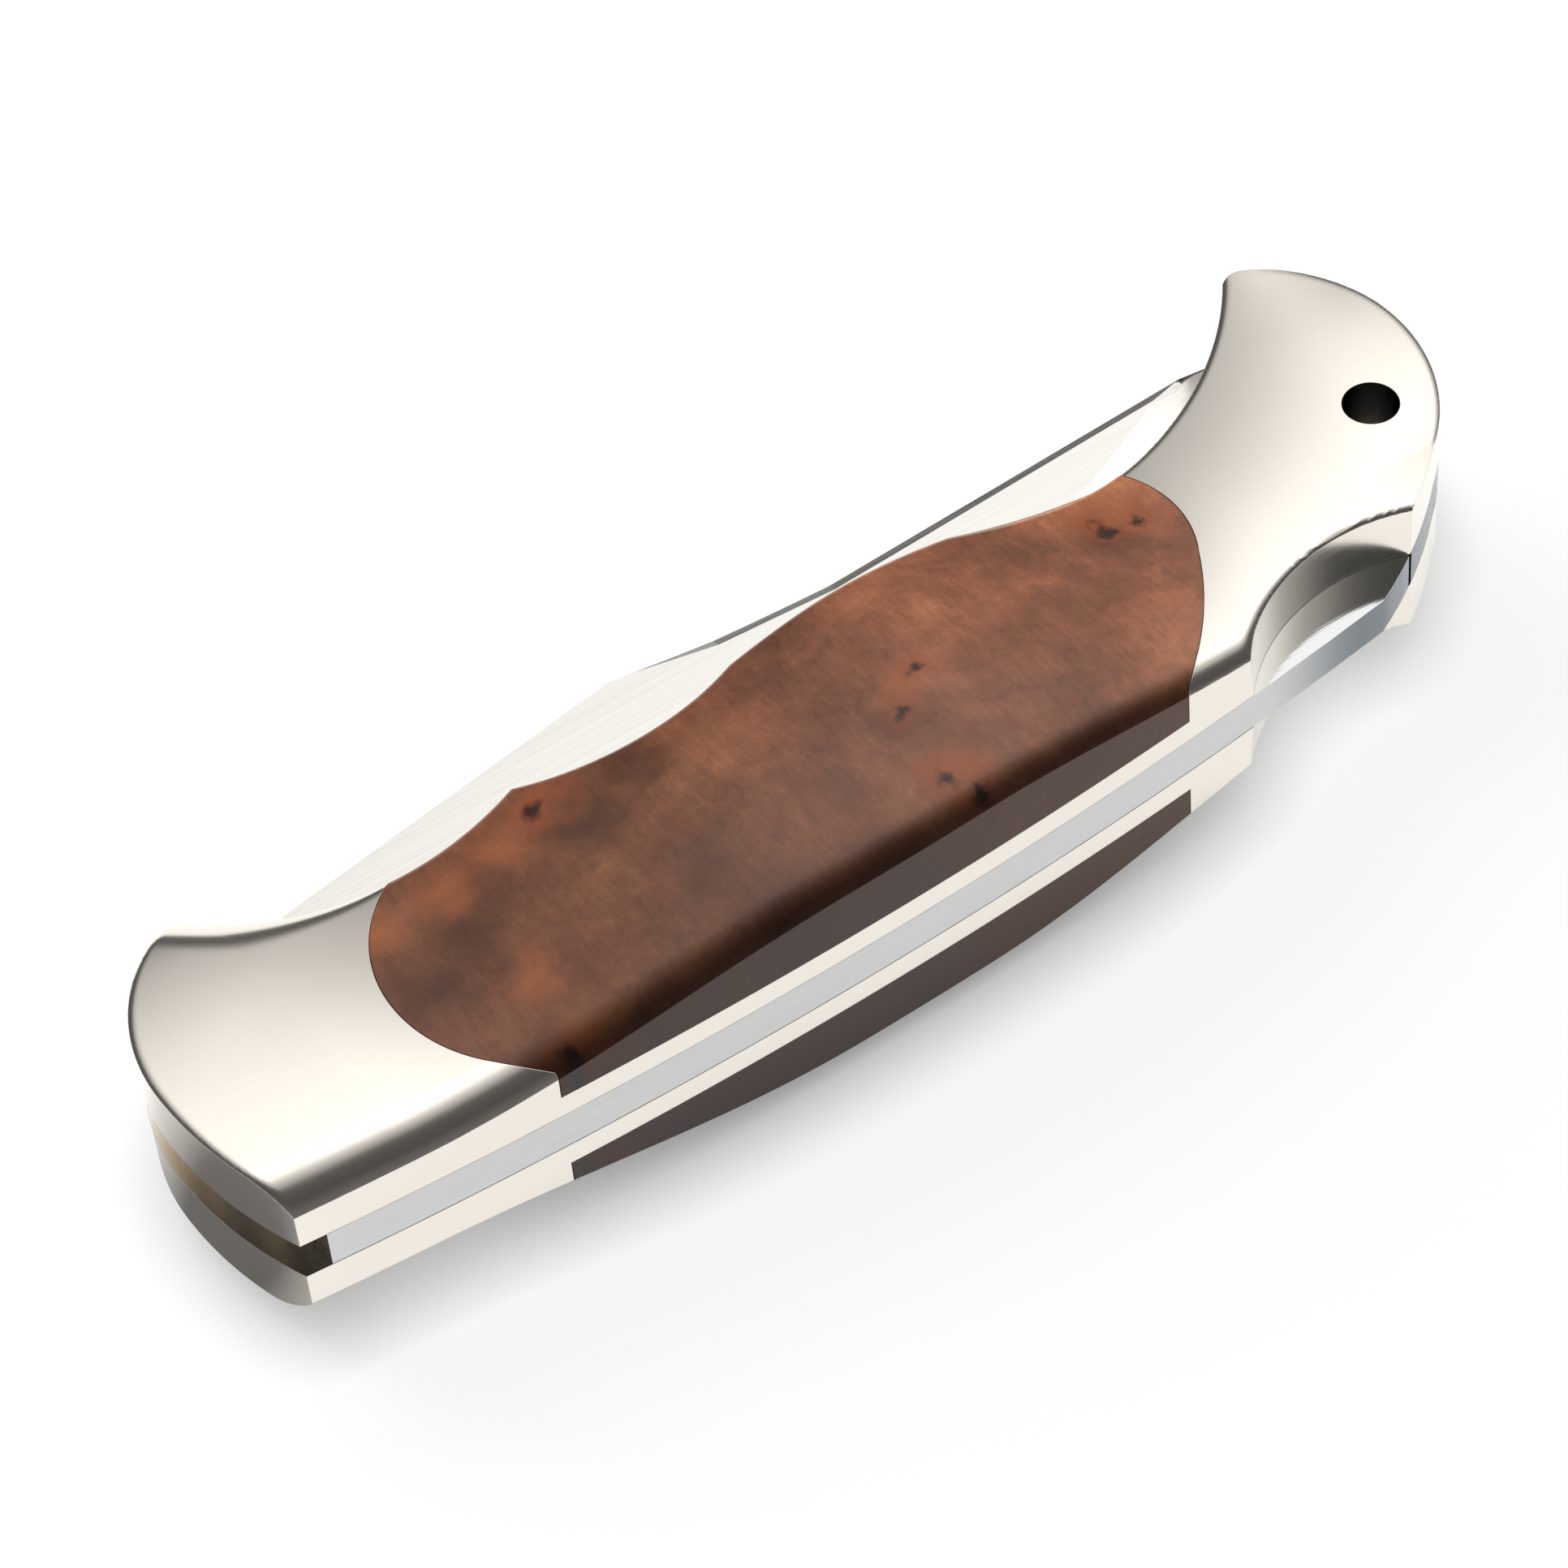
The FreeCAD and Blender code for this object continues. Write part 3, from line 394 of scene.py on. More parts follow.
def walk(bend, step=0.3 * MM):
    """Points along a round of the plan, its start with them and its end left out."""
    centre, radius = circle_of(bend)
    first, middle, last = ((spot(shares) - centre) for shares in bend)
    sweep = first.angle_signed(middle) + middle.angle_signed(last)
    count = max(6, round(abs(sweep) * radius / step))
    points = []
    for number in range(count):
        turn = Matrix.Rotation(-sweep * number / count, 2)
        points.append(centre + turn @ first)
    return points


def run(bends):
    """Points along rounds that follow each other."""
    return [point for bend in bends for point in walk(bend)]


def carried(before, points, after):
    """A line of points in plan, carried on at both ends."""
    return [spot(shares) for shares in before] + points + [spot(shares) for shares in after]


def eased(share):
    """A share from 0 to 1 that starts and ends gently."""
    share = min(1, max(0, share))
    return share * share * (3 - 2 * share)


def rolled(depth, radius, tilt):
    """Height of a rolled edge at a depth in from the crease, level once the roll is over."""
    if depth <= 0:
        return depth * math.tan(tilt)
    lean = max(0, math.sin(tilt) - depth / radius)
    return radius * (math.sqrt(1 - lean * lean) - math.cos(tilt))


def between(points, x):
    """Value at x on a line of points, which runs on straight beyond its ends."""
    number = min(max(bisect.bisect([point[0] for point in points], x), 1), len(points) - 1)
    (x1, y1), (x2, y2) = points[number - 1], points[number]
    return y1 + (y2 - y1) * (x - x1) / (x2 - x1)


def domed(back, blade, edge, share):
    """Height of a cross section above its back crease.

    Depths in from the back and the blade side along the section, and in from the blade side's nearest point.
    """
    size = sizes()
    place = min(1, max(0, share))
    wide = size.roll * between(BACK_ROLLS, place)
    narrow = size.blade_roll * between(BLADE_ROLLS, place)
    lift = MM * between(BLADE_LIFTS, place)
    rise = wide * (1 - math.cos(size.rim_tilt))
    fall = narrow * (1 - math.cos(size.blade_tilt))
    across = min(1, max(0, back / (back + blade)))
    crown = (size.end_crown + size.crown * swell(share)) * 4 * across * (1 - across)
    slope = (rise - fall - lift) * across * across
    return rolled(back, wide, size.rim_tilt) + rolled(edge, narrow, size.blade_tilt) - fall + crown - slope


def end_fall(depth, fall, ramp):
    """How far the top has fallen at a depth in from an end's edge: all at the edge, nothing past the ramp."""
    if depth >= ramp:
        return 0
    if depth < 0:
        return fall - 2 * fall / ramp * depth
    return fall * (1 - depth / ramp) ** 2


def swell(share):
    """Share of the palm swell along the handle: a bell with a short level top."""
    span = SWELL_FRONT if share < SWELL_MIDDLE else SWELL_REAR
    turn = max(0, abs(share - SWELL_MIDDLE) - SWELL_LEVEL) / (span - SWELL_LEVEL)
    return math.cos(math.pi / 2 * turn) ** 2 if turn < 1 else 0


def outer_form():
    """Solid near half of the handle: a fine grid, domed by sections and rolled ends, cut to the plan."""
    size = sizes()
    low, high = cad_box
    length = high[0] - low[0]
    width = high[1] - low[1]
    back = carried(BACK_BEFORE, walk(BACK_SIDE[1])[::-1], BACK_AFTER)
    hollows = [circle_of(BLADE_SIDE[number]) for number in (0, 1, 3)]
    hump, bulge = circle_of(BLADE_SIDE[2])
    span = (spot(BLADE_SIDE[2][0]).x, spot(BLADE_SIDE[2][2]).x)
    blade = carried(BLADE_BEFORE, run(BLADE_SIDE), BLADE_AFTER)
    front = carried(FRONT_BEFORE, run((LOWER_FRONT, UPPER_FRONT)), FRONT_AFTER)
    butt = carried(BUTT_BEFORE, walk(LOWER_BUTT)[::-1], BUTT_AFTER)
    front = [(point.y, point.x) for point in front]
    butt = [(point.y, point.x) for point in butt]
    heart, reach = circle_of(UPPER_BUTT)
    thumb = spot(NOTCH_CENTRE)
    columns = math.ceil((length + size.margin) / size.cell)
    rows = math.ceil((width + size.margin) / size.cell)
    bpy.ops.mesh.primitive_grid_add(x_subdivisions=columns, y_subdivisions=rows, size=1)
    piece = bpy.context.object
    piece.scale = (length + size.margin, width + size.margin, 1)
    bpy.ops.object.transform_apply(location=True, rotation=True, scale=True)
    for point in piece.data.vertices:
        x, y = point.co.xy
        share = (x - low[0]) / length
        rim = size.front_rim + (size.rear_rim - size.front_rim) * share + size.palm_swell * swell(share)
        near = between(back, x)
        far = between(blade, x)
        edge = min(math.hypot(x - centre.x, y - centre.y) - radius for centre, radius in hollows)
        if span[0] < x < span[1]:
            edge = min(edge, bulge - math.hypot(x - hump.x, y - hump.y))
        dome = domed(y - near, far - y, edge, share)
        behind = between(butt, y) - x
        if y > heart.y and x > heart.x:
            behind = reach - math.hypot(x - heart.x, y - heart.y)
        before = x - between(front, y)
        inside = eased((y - near) / size.end_blend) * eased(edge / size.end_blend)
        fall = end_fall(behind, size.butt_fall, size.butt_ramp) * inside
        fall += end_fall(before + size.front_slant * max(0, far - y), size.front_fall, size.front_ramp)
        hollow = math.hypot(x - thumb.x, y - thumb.y) - size.notch - size.notch_flare
        ends = rolled(min(before, behind), size.end_roll, size.blade_tilt)
        ends -= size.end_roll * (1 - math.cos(size.blade_tilt))
        ends += rolled(hollow, size.end_roll, size.rim_tilt) - size.end_roll * (1 - math.cos(size.rim_tilt))
        height = rim + dome - fall + ends * eased(dome / size.edge_fade)
        point.co.z = size.middle + max(height, size.least_height)
    bpy.ops.object.mode_set(mode="EDIT")
    bpy.ops.mesh.select_all(action="SELECT")
    bpy.ops.mesh.extrude_region_move(TRANSFORM_OT_translate={"value": (0, 0, -2 * size.cut_top)})
    bpy.ops.object.mode_set(mode="OBJECT")
    for point in piece.data.vertices:
        if point.co.z < size.middle:
            point.co.z = size.middle
    bpy.ops.object.mode_set(mode="EDIT")
    bpy.ops.mesh.select_all(action="SELECT")
    bpy.ops.mesh.normals_make_consistent(inside=False)
    bpy.ops.object.mode_set(mode="OBJECT")
    outline = run((LOWER_FRONT, UPPER_FRONT) + BLADE_SIDE + (BEAK, UPPER_BUTT, LOWER_BUTT) + BACK_SIDE)
    plan = prism("plan", outline, size.middle + size.inner_face, size.middle + size.cut_top)
    shaped(piece, plan, "INTERSECT")
    return piece


def prism(name, points, bottom, top):
    """Upright block of a closed line in plan."""
    bpy.ops.mesh.primitive_circle_add(vertices=len(points), radius=1, fill_type="NGON")
    made = bpy.context.object
    made.name = name
    for vertex, point in zip(made.data.vertices, points):
        vertex.co = (point[0], point[1], bottom)
    bpy.ops.object.mode_set(mode="EDIT")
    bpy.ops.mesh.select_all(action="SELECT")
    bpy.ops.mesh.extrude_region_move(TRANSFORM_OT_translate={"value": (0, 0, top - bottom)})
    bpy.ops.mesh.select_all(action="SELECT")
    bpy.ops.mesh.normals_make_consistent(inside=False)
    bpy.ops.object.mode_set(mode="OBJECT")
    return made


def shaped(piece, tool, way):
    """Cuts a piece by a tool, and puts the tool away."""
    pick(piece)
    cut = piece.modifiers.new("Cut", "BOOLEAN")
    cut.operation = way
    cut.solver = "MANIFOLD"
    cut.object = tool
    bpy.ops.object.modifier_apply(modifier=cut.name)
    bpy.data.objects.remove(tool)


def inlay_block(joint=0.0):
    """Block that fills the inlay's pocket but for a joint, and runs out over both sides of the handle."""
    size = sizes()
    front = [point + Vector((joint, 0)) for point in walk(INLAY_FRONT) + [spot(INLAY_FRONT[-1])]]
    rear = [point - Vector((joint, 0)) for point in run(INLAY_REAR) + [spot(INLAY_REAR[-1][-1])]]
    low, high = cad_box[0][1] - size.overrun, cad_box[1][1] + size.overrun
    points = front + [(front[-1].x, high), (rear[0].x, high)]
    points += rear + [(rear[-1].x, low), (front[0].x, low)]
    return prism("inlay_block", points, size.middle + size.wood_seat, size.middle + size.cut_top)


def far_side(piece, name):
    """Mirrored copy for the far side of the knife."""
    pick(piece)
    bpy.ops.object.duplicate()
    made = bpy.context.object
    made.name = name
    bpy.ops.object.mode_set(mode="EDIT")
    bpy.ops.mesh.select_all(action="SELECT")
    bpy.ops.transform.resize(value=(1, 1, -1), center_override=(0, 0, sizes().middle))
    bpy.ops.mesh.flip_normals()
    bpy.ops.object.mode_set(mode="OBJECT")
    return made


def broken_edges(piece, width):
    """Breaks the sharp edges of a piece."""
    pick(piece)
    bevel = piece.modifiers.new("Broken edges", "BEVEL")
    bevel.width = width
    bevel.segments = 2
    bevel.limit_method = "ANGLE"
    bevel.angle_limit = sizes().sharp_angle
    bpy.ops.object.modifier_apply(modifier=bevel.name)


def dressed(piece, material, angle=None):
    """Smooth shading and the finish."""
    pick(piece)
    bpy.ops.object.shade_smooth_by_angle(angle=angle or sizes().smooth_angle)
    piece.data.materials.clear()
    piece.data.materials.append(material)


def finished(piece, node, body, material, angle=None):
    """Shading, the finish, and the piece's place in the frame."""
    dressed(piece, material, angle)
    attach(piece, body)
    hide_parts(node)


def paint(node, material):
    """Gives a CAD node its finish."""
    mesh = frame["nodes"][node].data
    mesh.materials.clear()
    mesh.materials.append(material)


def nickel_silver():
    """Nickel silver, ground and satin polished: a warm white metal with a soft, clear reflection."""
    made, tree, out = blank("Satin nickel silver")
    place = add(tree, "ShaderNodeTexCoord").outputs["Object"]
    # Polishing marks along the handle, 8 mm long and 0.12 mm apart, coarser than real ones so that they show.
    marks = add(tree, "ShaderNodeMapping", {
        "Vector": place, "Scale": (1 / (8 * MM), 1 / (0.12 * MM), 1 / (0.12 * MM))})
    grain = add(tree, "ShaderNodeTexNoise", {
        "Vector": marks.outputs["Vector"], "Scale": 1.0, "Detail": 2.0})
    rough = add(tree, "ShaderNodeMapRange", {
        "Value": grain.outputs["Fac"], "From Min": 0.3, "From Max": 0.7, "To Min": 0.17, "To Max": 0.21})
    # Edges are broken by the polish, about 0.06 mm.
    edge = add(tree, "ShaderNodeBevel", {"Radius": 0.06 * MM}, samples=4)
    relief = add(tree, "ShaderNodeBump", {
        "Height": grain.outputs["Fac"], "Strength": 0.05, "Distance": 0.02 * MM,
        "Normal": edge.outputs["Normal"]})
    # The wall of the drilled lanyard hole is painted dark: painted shade in the hole.
    flat = add(tree, "ShaderNodeVectorMath", {0: place, 1: (1, 1, 0)}, operation="MULTIPLY")
    away = add(tree, "ShaderNodeVectorMath", {
        0: flat.outputs["Vector"], 1: (*spot(LANYARD_CENTRE), 0)}, operation="DISTANCE")
    bore_shade_share = add(tree, "ShaderNodeMapRange", {
        "Value": away.outputs["Value"], "From Min": sizes().lanyard + 0.02 * MM,
        "From Max": sizes().lanyard + 0.05 * MM, "To Min": 1.0, "To Max": 0.0})
    colour = add(tree, "ShaderNodeMix", {
        "Factor": bore_shade_share.outputs["Result"], "A": colours().nickel_silver, "B": colours().painted_bore_shade},
        data_type="RGBA")
    shader = add(tree, "ShaderNodeBsdfPrincipled", {
        "Base Color": colour.outputs[2], "Metallic": 1.0, "Roughness": rough.outputs["Result"],
        "Normal": relief.outputs["Normal"]})
    tree.links.new(shader.outputs["BSDF"], out.inputs["Surface"])
    return made


def satin_steel(name, colour, low, high, sides=None):
    """Ground steel with fine lines along the handle, and where wanted polished on its flat sides, its thumb
    end then painted darker as a painted dark reflection.
    """
    made, tree, out = blank(name)
    place = add(tree, "ShaderNodeTexCoord").outputs["Object"]
    # Grinding lines about 0.08 mm wide and 20 mm long, drawn at 0.2 mm so that they show.
    marks = add(tree, "ShaderNodeMapping", {
        "Vector": place, "Scale": (1 / (20 * MM), 1 / (0.2 * MM), 1 / (0.2 * MM))})
    grain = add(tree, "ShaderNodeTexNoise", {
        "Vector": marks.outputs["Vector"], "Scale": 1.0, "Detail": 3.0})
    rough = add(tree, "ShaderNodeMapRange", {
        "Value": grain.outputs["Fac"], "From Min": 0.3, "From Max": 0.7, "To Min": low, "To Max": high})
    finish = rough.outputs["Result"]
    relief = add(tree, "ShaderNodeBump", {
        "Height": grain.outputs["Fac"], "Strength": 0.12, "Distance": 0.03 * MM})
    if sides is not None:
        # The thumb end of the bar, from 27 mm behind the middle on, is painted darker except on its flat
        # sides: a painted dark reflection of the surroundings.
        along = add(tree, "ShaderNodeSeparateXYZ", {"Vector": place}).outputs["X"]
        dark_reflection_share = add(tree, "ShaderNodeMapRange", {
            "Value": along, "From Min": 27 * MM, "From Max": 38 * MM, "To Min": 0.0, "To Max": 0.9},
            interpolation_type="SMOOTHSTEP")
        facing = add(tree, "ShaderNodeSeparateXYZ", {
            "Vector": add(tree, "ShaderNodeTexCoord").outputs["Normal"]}).outputs["Z"]
        level = add(tree, "ShaderNodeMath", {0: facing}, operation="ABSOLUTE")
        share = add(tree, "ShaderNodeMapRange", {
            "Value": level.outputs["Value"], "From Min": 0.6, "From Max": 0.9})
        polish = add(tree, "ShaderNodeMix", {
            "Factor": share.outputs["Result"], "A": finish, "B": sides}, data_type="FLOAT")
        finish = polish.outputs[0]
        narrow = add(tree, "ShaderNodeMath", {0: 1.0, 1: share.outputs["Result"]}, operation="SUBTRACT")
        dark = add(tree, "ShaderNodeMath", {
            0: dark_reflection_share.outputs["Result"], 1: narrow.outputs["Value"]}, operation="MULTIPLY")
        tinted = add(tree, "ShaderNodeMix", {
            "Factor": dark.outputs["Value"], "A": colour, "B": colours().painted_dark_steel}, data_type="RGBA")
        colour = tinted.outputs[2]
    shader = add(tree, "ShaderNodeBsdfPrincipled", {
        "Base Color": colour, "Metallic": 1.0, "Roughness": finish, "Normal": relief.outputs["Normal"]})
    tree.links.new(shader.outputs["BSDF"], out.inputs["Surface"])
    return made


# Figure of the burl in plan, in millimetres from the middle: along, across and how far each mark spreads.
BURL_EYES = (
    (5.6, -4.5, 0.8), (2.8, -7.9, 0.8), (1.5, -14.0, 0.9), (25.5, 0.5, 0.9), (28.4, 0.4, 0.9),
    (3.2, -15.2, 0.7), (-21.2, 2.8, 1.1), (-31.2, -16.2, 1.1),
)
BURL_SMUDGES = (
    (-31.5, -3.6, 4.2), (-35.5, -5.5, 3.0), (-20.0, -0.6, 3.6), (2.2, -8.0, 2.6), (24.8, -0.6, 2.4),
    (-31.6, -16.1, 2.6), (-15.4, 0.9, 3.0),
)
BURL_FLAMES = (
    (-30.2, 0.9, 2.6), (-25.6, 1.2, 2.6), (-29.0, -15.0, 2.2), (-29.5, -9.8, 2.4), (2.4, -13.4, 1.9),
    (27.6, 2.4, 2.2), (3.6, -5.8, 1.9), (-35.2, 0.6, 2.0), (25.0, 2.2, 1.6),
)


def burl_wood():
    """Stabilised burl: brown ground, dark smudges, orange flames and black eyes under a clear polish."""
    made, tree, out = blank("Polished burl")
    place = add(tree, "ShaderNodeTexCoord").outputs["Object"]
    # The grain wanders by 3 mm over about 6 mm, so no figure has a straight or round edge.
    wander = add(tree, "ShaderNodeTexNoise", {
        "Vector": place, "Scale": 1 / (6 * MM), "Detail": 6.0, "Roughness": 0.62})
    centred = add(tree, "ShaderNodeVectorMath", {
        0: wander.outputs["Color"], 1: (0.5, 0.5, 0.5)}, operation="SUBTRACT")
    moved = add(tree, "ShaderNodeVectorMath", {
        0: centred.outputs["Vector"], 1: (6.5 * MM, 6.5 * MM, 6.5 * MM), 2: place}, operation="MULTIPLY_ADD")
    flat = add(tree, "ShaderNodeVectorMath", {
        0: moved.outputs["Vector"], 1: (1, 1, 0)}, operation="MULTIPLY")
    # The ground turns from dark to light over about 13 mm.
    broad = add(tree, "ShaderNodeTexNoise", {
        "Vector": moved.outputs["Vector"], "Scale": 1 / (13 * MM), "Detail": 4.0, "Roughness": 0.5})
    ground = add(tree, "ShaderNodeValToRGB", {"Fac": broad.outputs["Fac"]})
    stops = ground.color_ramp.elements
    stops[0].position = 0.3
    stops[0].color = colours().wood_dark
    stops[1].position = 0.72
    stops[1].color = colours().wood_light
    stops.new(0.5).color = colours().wood_brown
    # Curly fibres 0.4 mm wide and 3 mm long run across the handle, and pores stand 0.3 mm apart.
    lean = add(tree, "ShaderNodeVectorMath", {
        0: centred.outputs["Vector"], 1: (1.5 * MM, 1.5 * MM, 1.5 * MM), 2: place}, operation="MULTIPLY_ADD")
    fibres = add(tree, "ShaderNodeMapping", {
        "Vector": lean.outputs["Vector"], "Scale": (1 / (0.4 * MM), 1 / (3 * MM), 1 / (2 * MM))})
    strands = add(tree, "ShaderNodeTexNoise", {
        "Vector": fibres.outputs["Vector"], "Scale": 1.0, "Detail": 2.0})
    pores = add(tree, "ShaderNodeTexNoise", {"Vector": place, "Scale": 1 / (0.3 * MM), "Detail": 1.0})
    fleck = add(tree, "ShaderNodeMath", {
        0: pores.outputs["Fac"], 1: 0.5, 2: strands.outputs["Fac"]}, operation="MULTIPLY_ADD")
    shade = add(tree, "ShaderNodeMapRange", {
        "Value": fleck.outputs["Value"], "From Min": 0.5, "From Max": 1.0, "To Min": 0.86, "To Max": 1.12})
    # The wood is darker towards the front of the knife.
    along = add(tree, "ShaderNodeSeparateXYZ", {"Vector": moved.outputs["Vector"]}).outputs["X"]
    light = add(tree, "ShaderNodeMapRange", {
        "Value": along, "From Min": -16 * MM, "From Max": 16 * MM, "To Min": 0.64, "To Max": 1.36},
        interpolation_type="SMOOTHSTEP")
    # Mottling, 2.5 mm across.
    mottle = add(tree, "ShaderNodeTexNoise", {
        "Vector": moved.outputs["Vector"], "Scale": 1 / (2.5 * MM), "Detail": 6.0, "Roughness": 0.7})
    patch = add(tree, "ShaderNodeMapRange", {
        "Value": mottle.outputs["Fac"], "From Min": 0.3, "From Max": 0.7, "To Min": 0.74, "To Max": 1.26})
    spread = add(tree, "ShaderNodeMath", {
        0: shade.outputs["Result"], 1: patch.outputs["Result"]}, operation="MULTIPLY")
    tone = add(tree, "ShaderNodeMath", {
        0: spread.outputs["Value"], 1: light.outputs["Result"]}, operation="MULTIPLY")
    toned = add(tree, "ShaderNodeVectorMath", {
        0: ground.outputs["Color"], "Scale": tone.outputs["Value"]}, operation="SCALE")
    colour = toned.outputs["Vector"]
    # Marks, their colour, the shares of their spread where they are full and over, and their strength.
    for marks, tint, core, rim, weight in (
        (BURL_SMUDGES, colours().wood_smudge, 0.0, 1.5, 0.7),
        (BURL_FLAMES, colours().wood_flame, 0.0, 1.5, 0.55),
        (BURL_EYES, colours().wood_halo, 0.4, 3.0, 0.55),
        (BURL_EYES, colours().wood_eye, 0.2, 1.2, 0.9),
    ):
        reach = None
        for x, y, spread in marks:
            away = add(tree, "ShaderNodeVectorMath", {
                0: flat.outputs["Vector"], 1: (x * MM, y * MM, 0)}, operation="DISTANCE")
            near = add(tree, "ShaderNodeMath", {
                0: away.outputs["Value"], 1: 1 / (spread * MM)}, operation="MULTIPLY")
            if reach is None:
                reach = near.outputs["Value"]
            else:
                least = add(tree, "ShaderNodeMath", {
                    0: reach, 1: near.outputs["Value"], 2: 0.25}, operation="SMOOTH_MIN")
                reach = least.outputs["Value"]
        share = add(tree, "ShaderNodeMapRange", {
            "Value": reach, "From Min": core, "From Max": rim, "To Min": weight, "To Max": 0.0},
            interpolation_type="SMOOTHSTEP")
        mixed = add(tree, "ShaderNodeMix", {
            "Factor": share.outputs["Result"], "A": colour, "B": tint}, data_type="RGBA")
        colour = mixed.outputs[2]
    shader = add(tree, "ShaderNodeBsdfPrincipled", {
        "Base Color": colour, "Roughness": 0.5, "IOR": 1.5, "Specular IOR Level": 0.15, "Coat Weight": 0.5,
        "Coat Roughness": 0.09, "Coat IOR": 1.5})
    tree.links.new(shader.outputs["BSDF"], out.inputs["Surface"])
    return made


def bronze():
    """Rolled bronze sheet: dull, with faint roll marks, its colour painted darker as shade."""
    made, tree, out = blank("Bronze sheet")
    place = add(tree, "ShaderNodeTexCoord").outputs["Object"]
    # Roll marks about 0.4 mm wide.
    marks = add(tree, "ShaderNodeTexNoise", {"Vector": place, "Scale": 1 / (0.4 * MM), "Detail": 2.0})
    rough = add(tree, "ShaderNodeMapRange", {"Value": marks.outputs["Fac"], "To Min": 0.34, "To Max": 0.46})
    shader = add(tree, "ShaderNodeBsdfPrincipled", {
        "Base Color": colours().bronze, "Metallic": 1.0, "Roughness": rough.outputs["Result"]})
    tree.links.new(shader.outputs["BSDF"], out.inputs["Surface"])
    return made


def once(name, maker):
    """A finish, made the first time it is asked for."""
    return bpy.data.materials.get(name) or maker()


def frame_metal():
    return once("Satin nickel silver", nickel_silver)


def bar_metal():
    name = "Brushed lock steel"
    return once(name, lambda: satin_steel(name, colours().bar_steel, 0.2, 0.34, 0.07))


class KNIFE_OT_frames(bpy.types.Operator):
    """Shapes and finishes the two one-piece frames"""

    bl_idname = "knife.frames"
    bl_label = "Frames"

    def execute(self, context):
        size = sizes()
        piece = outer_form()
        piece.name = "left_frame_dressed"
        shaped(piece, inlay_block(), "DIFFERENCE")
        deep = 2 * (size.rear_rim - size.inner_face)
        bpy.ops.mesh.primitive_cone_add(
            vertices=360, radius1=size.notch, radius2=size.notch + 2 * size.notch_flare, depth=deep,
            location=(*spot(NOTCH_CENTRE), size.middle + size.inner_face + deep / 2))
        shaped(piece, context.object, "DIFFERENCE")
        bpy.ops.mesh.primitive_cylinder_add(
            vertices=64, radius=size.lanyard, depth=2 * size.cut_top,
            location=(*spot(LANYARD_CENTRE), size.middle))
        shaped(piece, context.object, "DIFFERENCE")
        other = far_side(piece, "right_frame_dressed")
        finished(piece, "left_frame", "handle", frame_metal())
        finished(other, "right_frame", "handle", frame_metal())
        return {"FINISHED"}


class KNIFE_OT_inlays(bpy.types.Operator):
    """Shapes and finishes the two burl inlays"""

    bl_idname = "knife.inlays"
    bl_label = "Inlays"

    def execute(self, context):
        piece = outer_form()
        piece.name = "left_inlay_dressed"
        shaped(piece, inlay_block(sizes().joint), "INTERSECT")
        other = far_side(piece, "right_inlay_dressed")
        wood = once("Polished burl", burl_wood)
        finished(piece, "left_inlay", "handle", wood)
        finished(other, "right_inlay", "handle", wood)
        return {"FINISHED"}


class KNIFE_OT_blade(bpy.types.Operator):
    """Finishes the clip-point blade"""

    bl_idname = "knife.blade"
    bl_label = "Blade"

    def execute(self, context):
        steel = satin_steel("Satin blade steel", colours().blade_steel, 0.18, 0.26)
        piece = copied("blade", "blade_dressed", joined=False)
        finished(piece, "blade", "blade", steel, sizes().facet_angle)
        # The large ground faces rule the shading of the narrow ones beside them.
        even = piece.modifiers.new("Even shading", "WEIGHTED_NORMAL")
        even.keep_sharp = True
        even.weight = 100
        bpy.ops.object.modifier_apply(modifier=even.name)
        return {"FINISHED"}


class KNIFE_OT_lock(bpy.types.Operator):
    """Finishes the lock bar and the butt spacer"""

    bl_idname = "knife.lock"
    bl_label = "Lock bar and spacer"

    def execute(self, context):
        for node, body in (("lock_bar", "lock_bar"), ("butt_spacer", "handle")):
            piece = copied(node, node + "_dressed")
            broken_edges(piece, sizes().steel_edge)
            finished(piece, node, body, bar_metal())
        return {"FINISHED"}


class KNIFE_OT_hidden(bpy.types.Operator):
    """Finishes the pins, rivets, washers and the spring"""

    bl_idname = "knife.hidden"
    bl_label = "Pins, washers and spring"

    def execute(self, context):
        size = sizes()
        for node in ("pivot_pin", "lower_rear_rivet", "upper_rear_rivet"):
            piece = copied(node, node + "_dressed")
            deep = (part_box(node)[1][2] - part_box(node)[0][2]) / 2
            bpy.ops.object.mode_set(mode="EDIT")
            bpy.ops.mesh.select_all(action="SELECT")
            bpy.ops.transform.resize(value=(1, 1, size.pin_reach / deep), center_override=(0, 0, size.middle))
            bpy.ops.object.mode_set(mode="OBJECT")
            finished(piece, node, "handle", frame_metal())
        paint("lock_bar_pin", bar_metal())
        # The leaf spring lies between the butt spacer that holds it and the lock bar that its tip lies on.
        # Its copy is baked where it stands and rides on no body.
        piece = copied("lock_spring", "lock_spring_dressed")
        bpy.ops.object.parent_clear(type="CLEAR_KEEP_TRANSFORM")
        dressed(piece, bar_metal())
        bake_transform(piece)
        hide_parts("lock_spring")
        for node in ("left_pivot_washer", "right_pivot_washer"):
            paint(node, once("Bronze sheet", bronze))
        return {"FINISHED"}


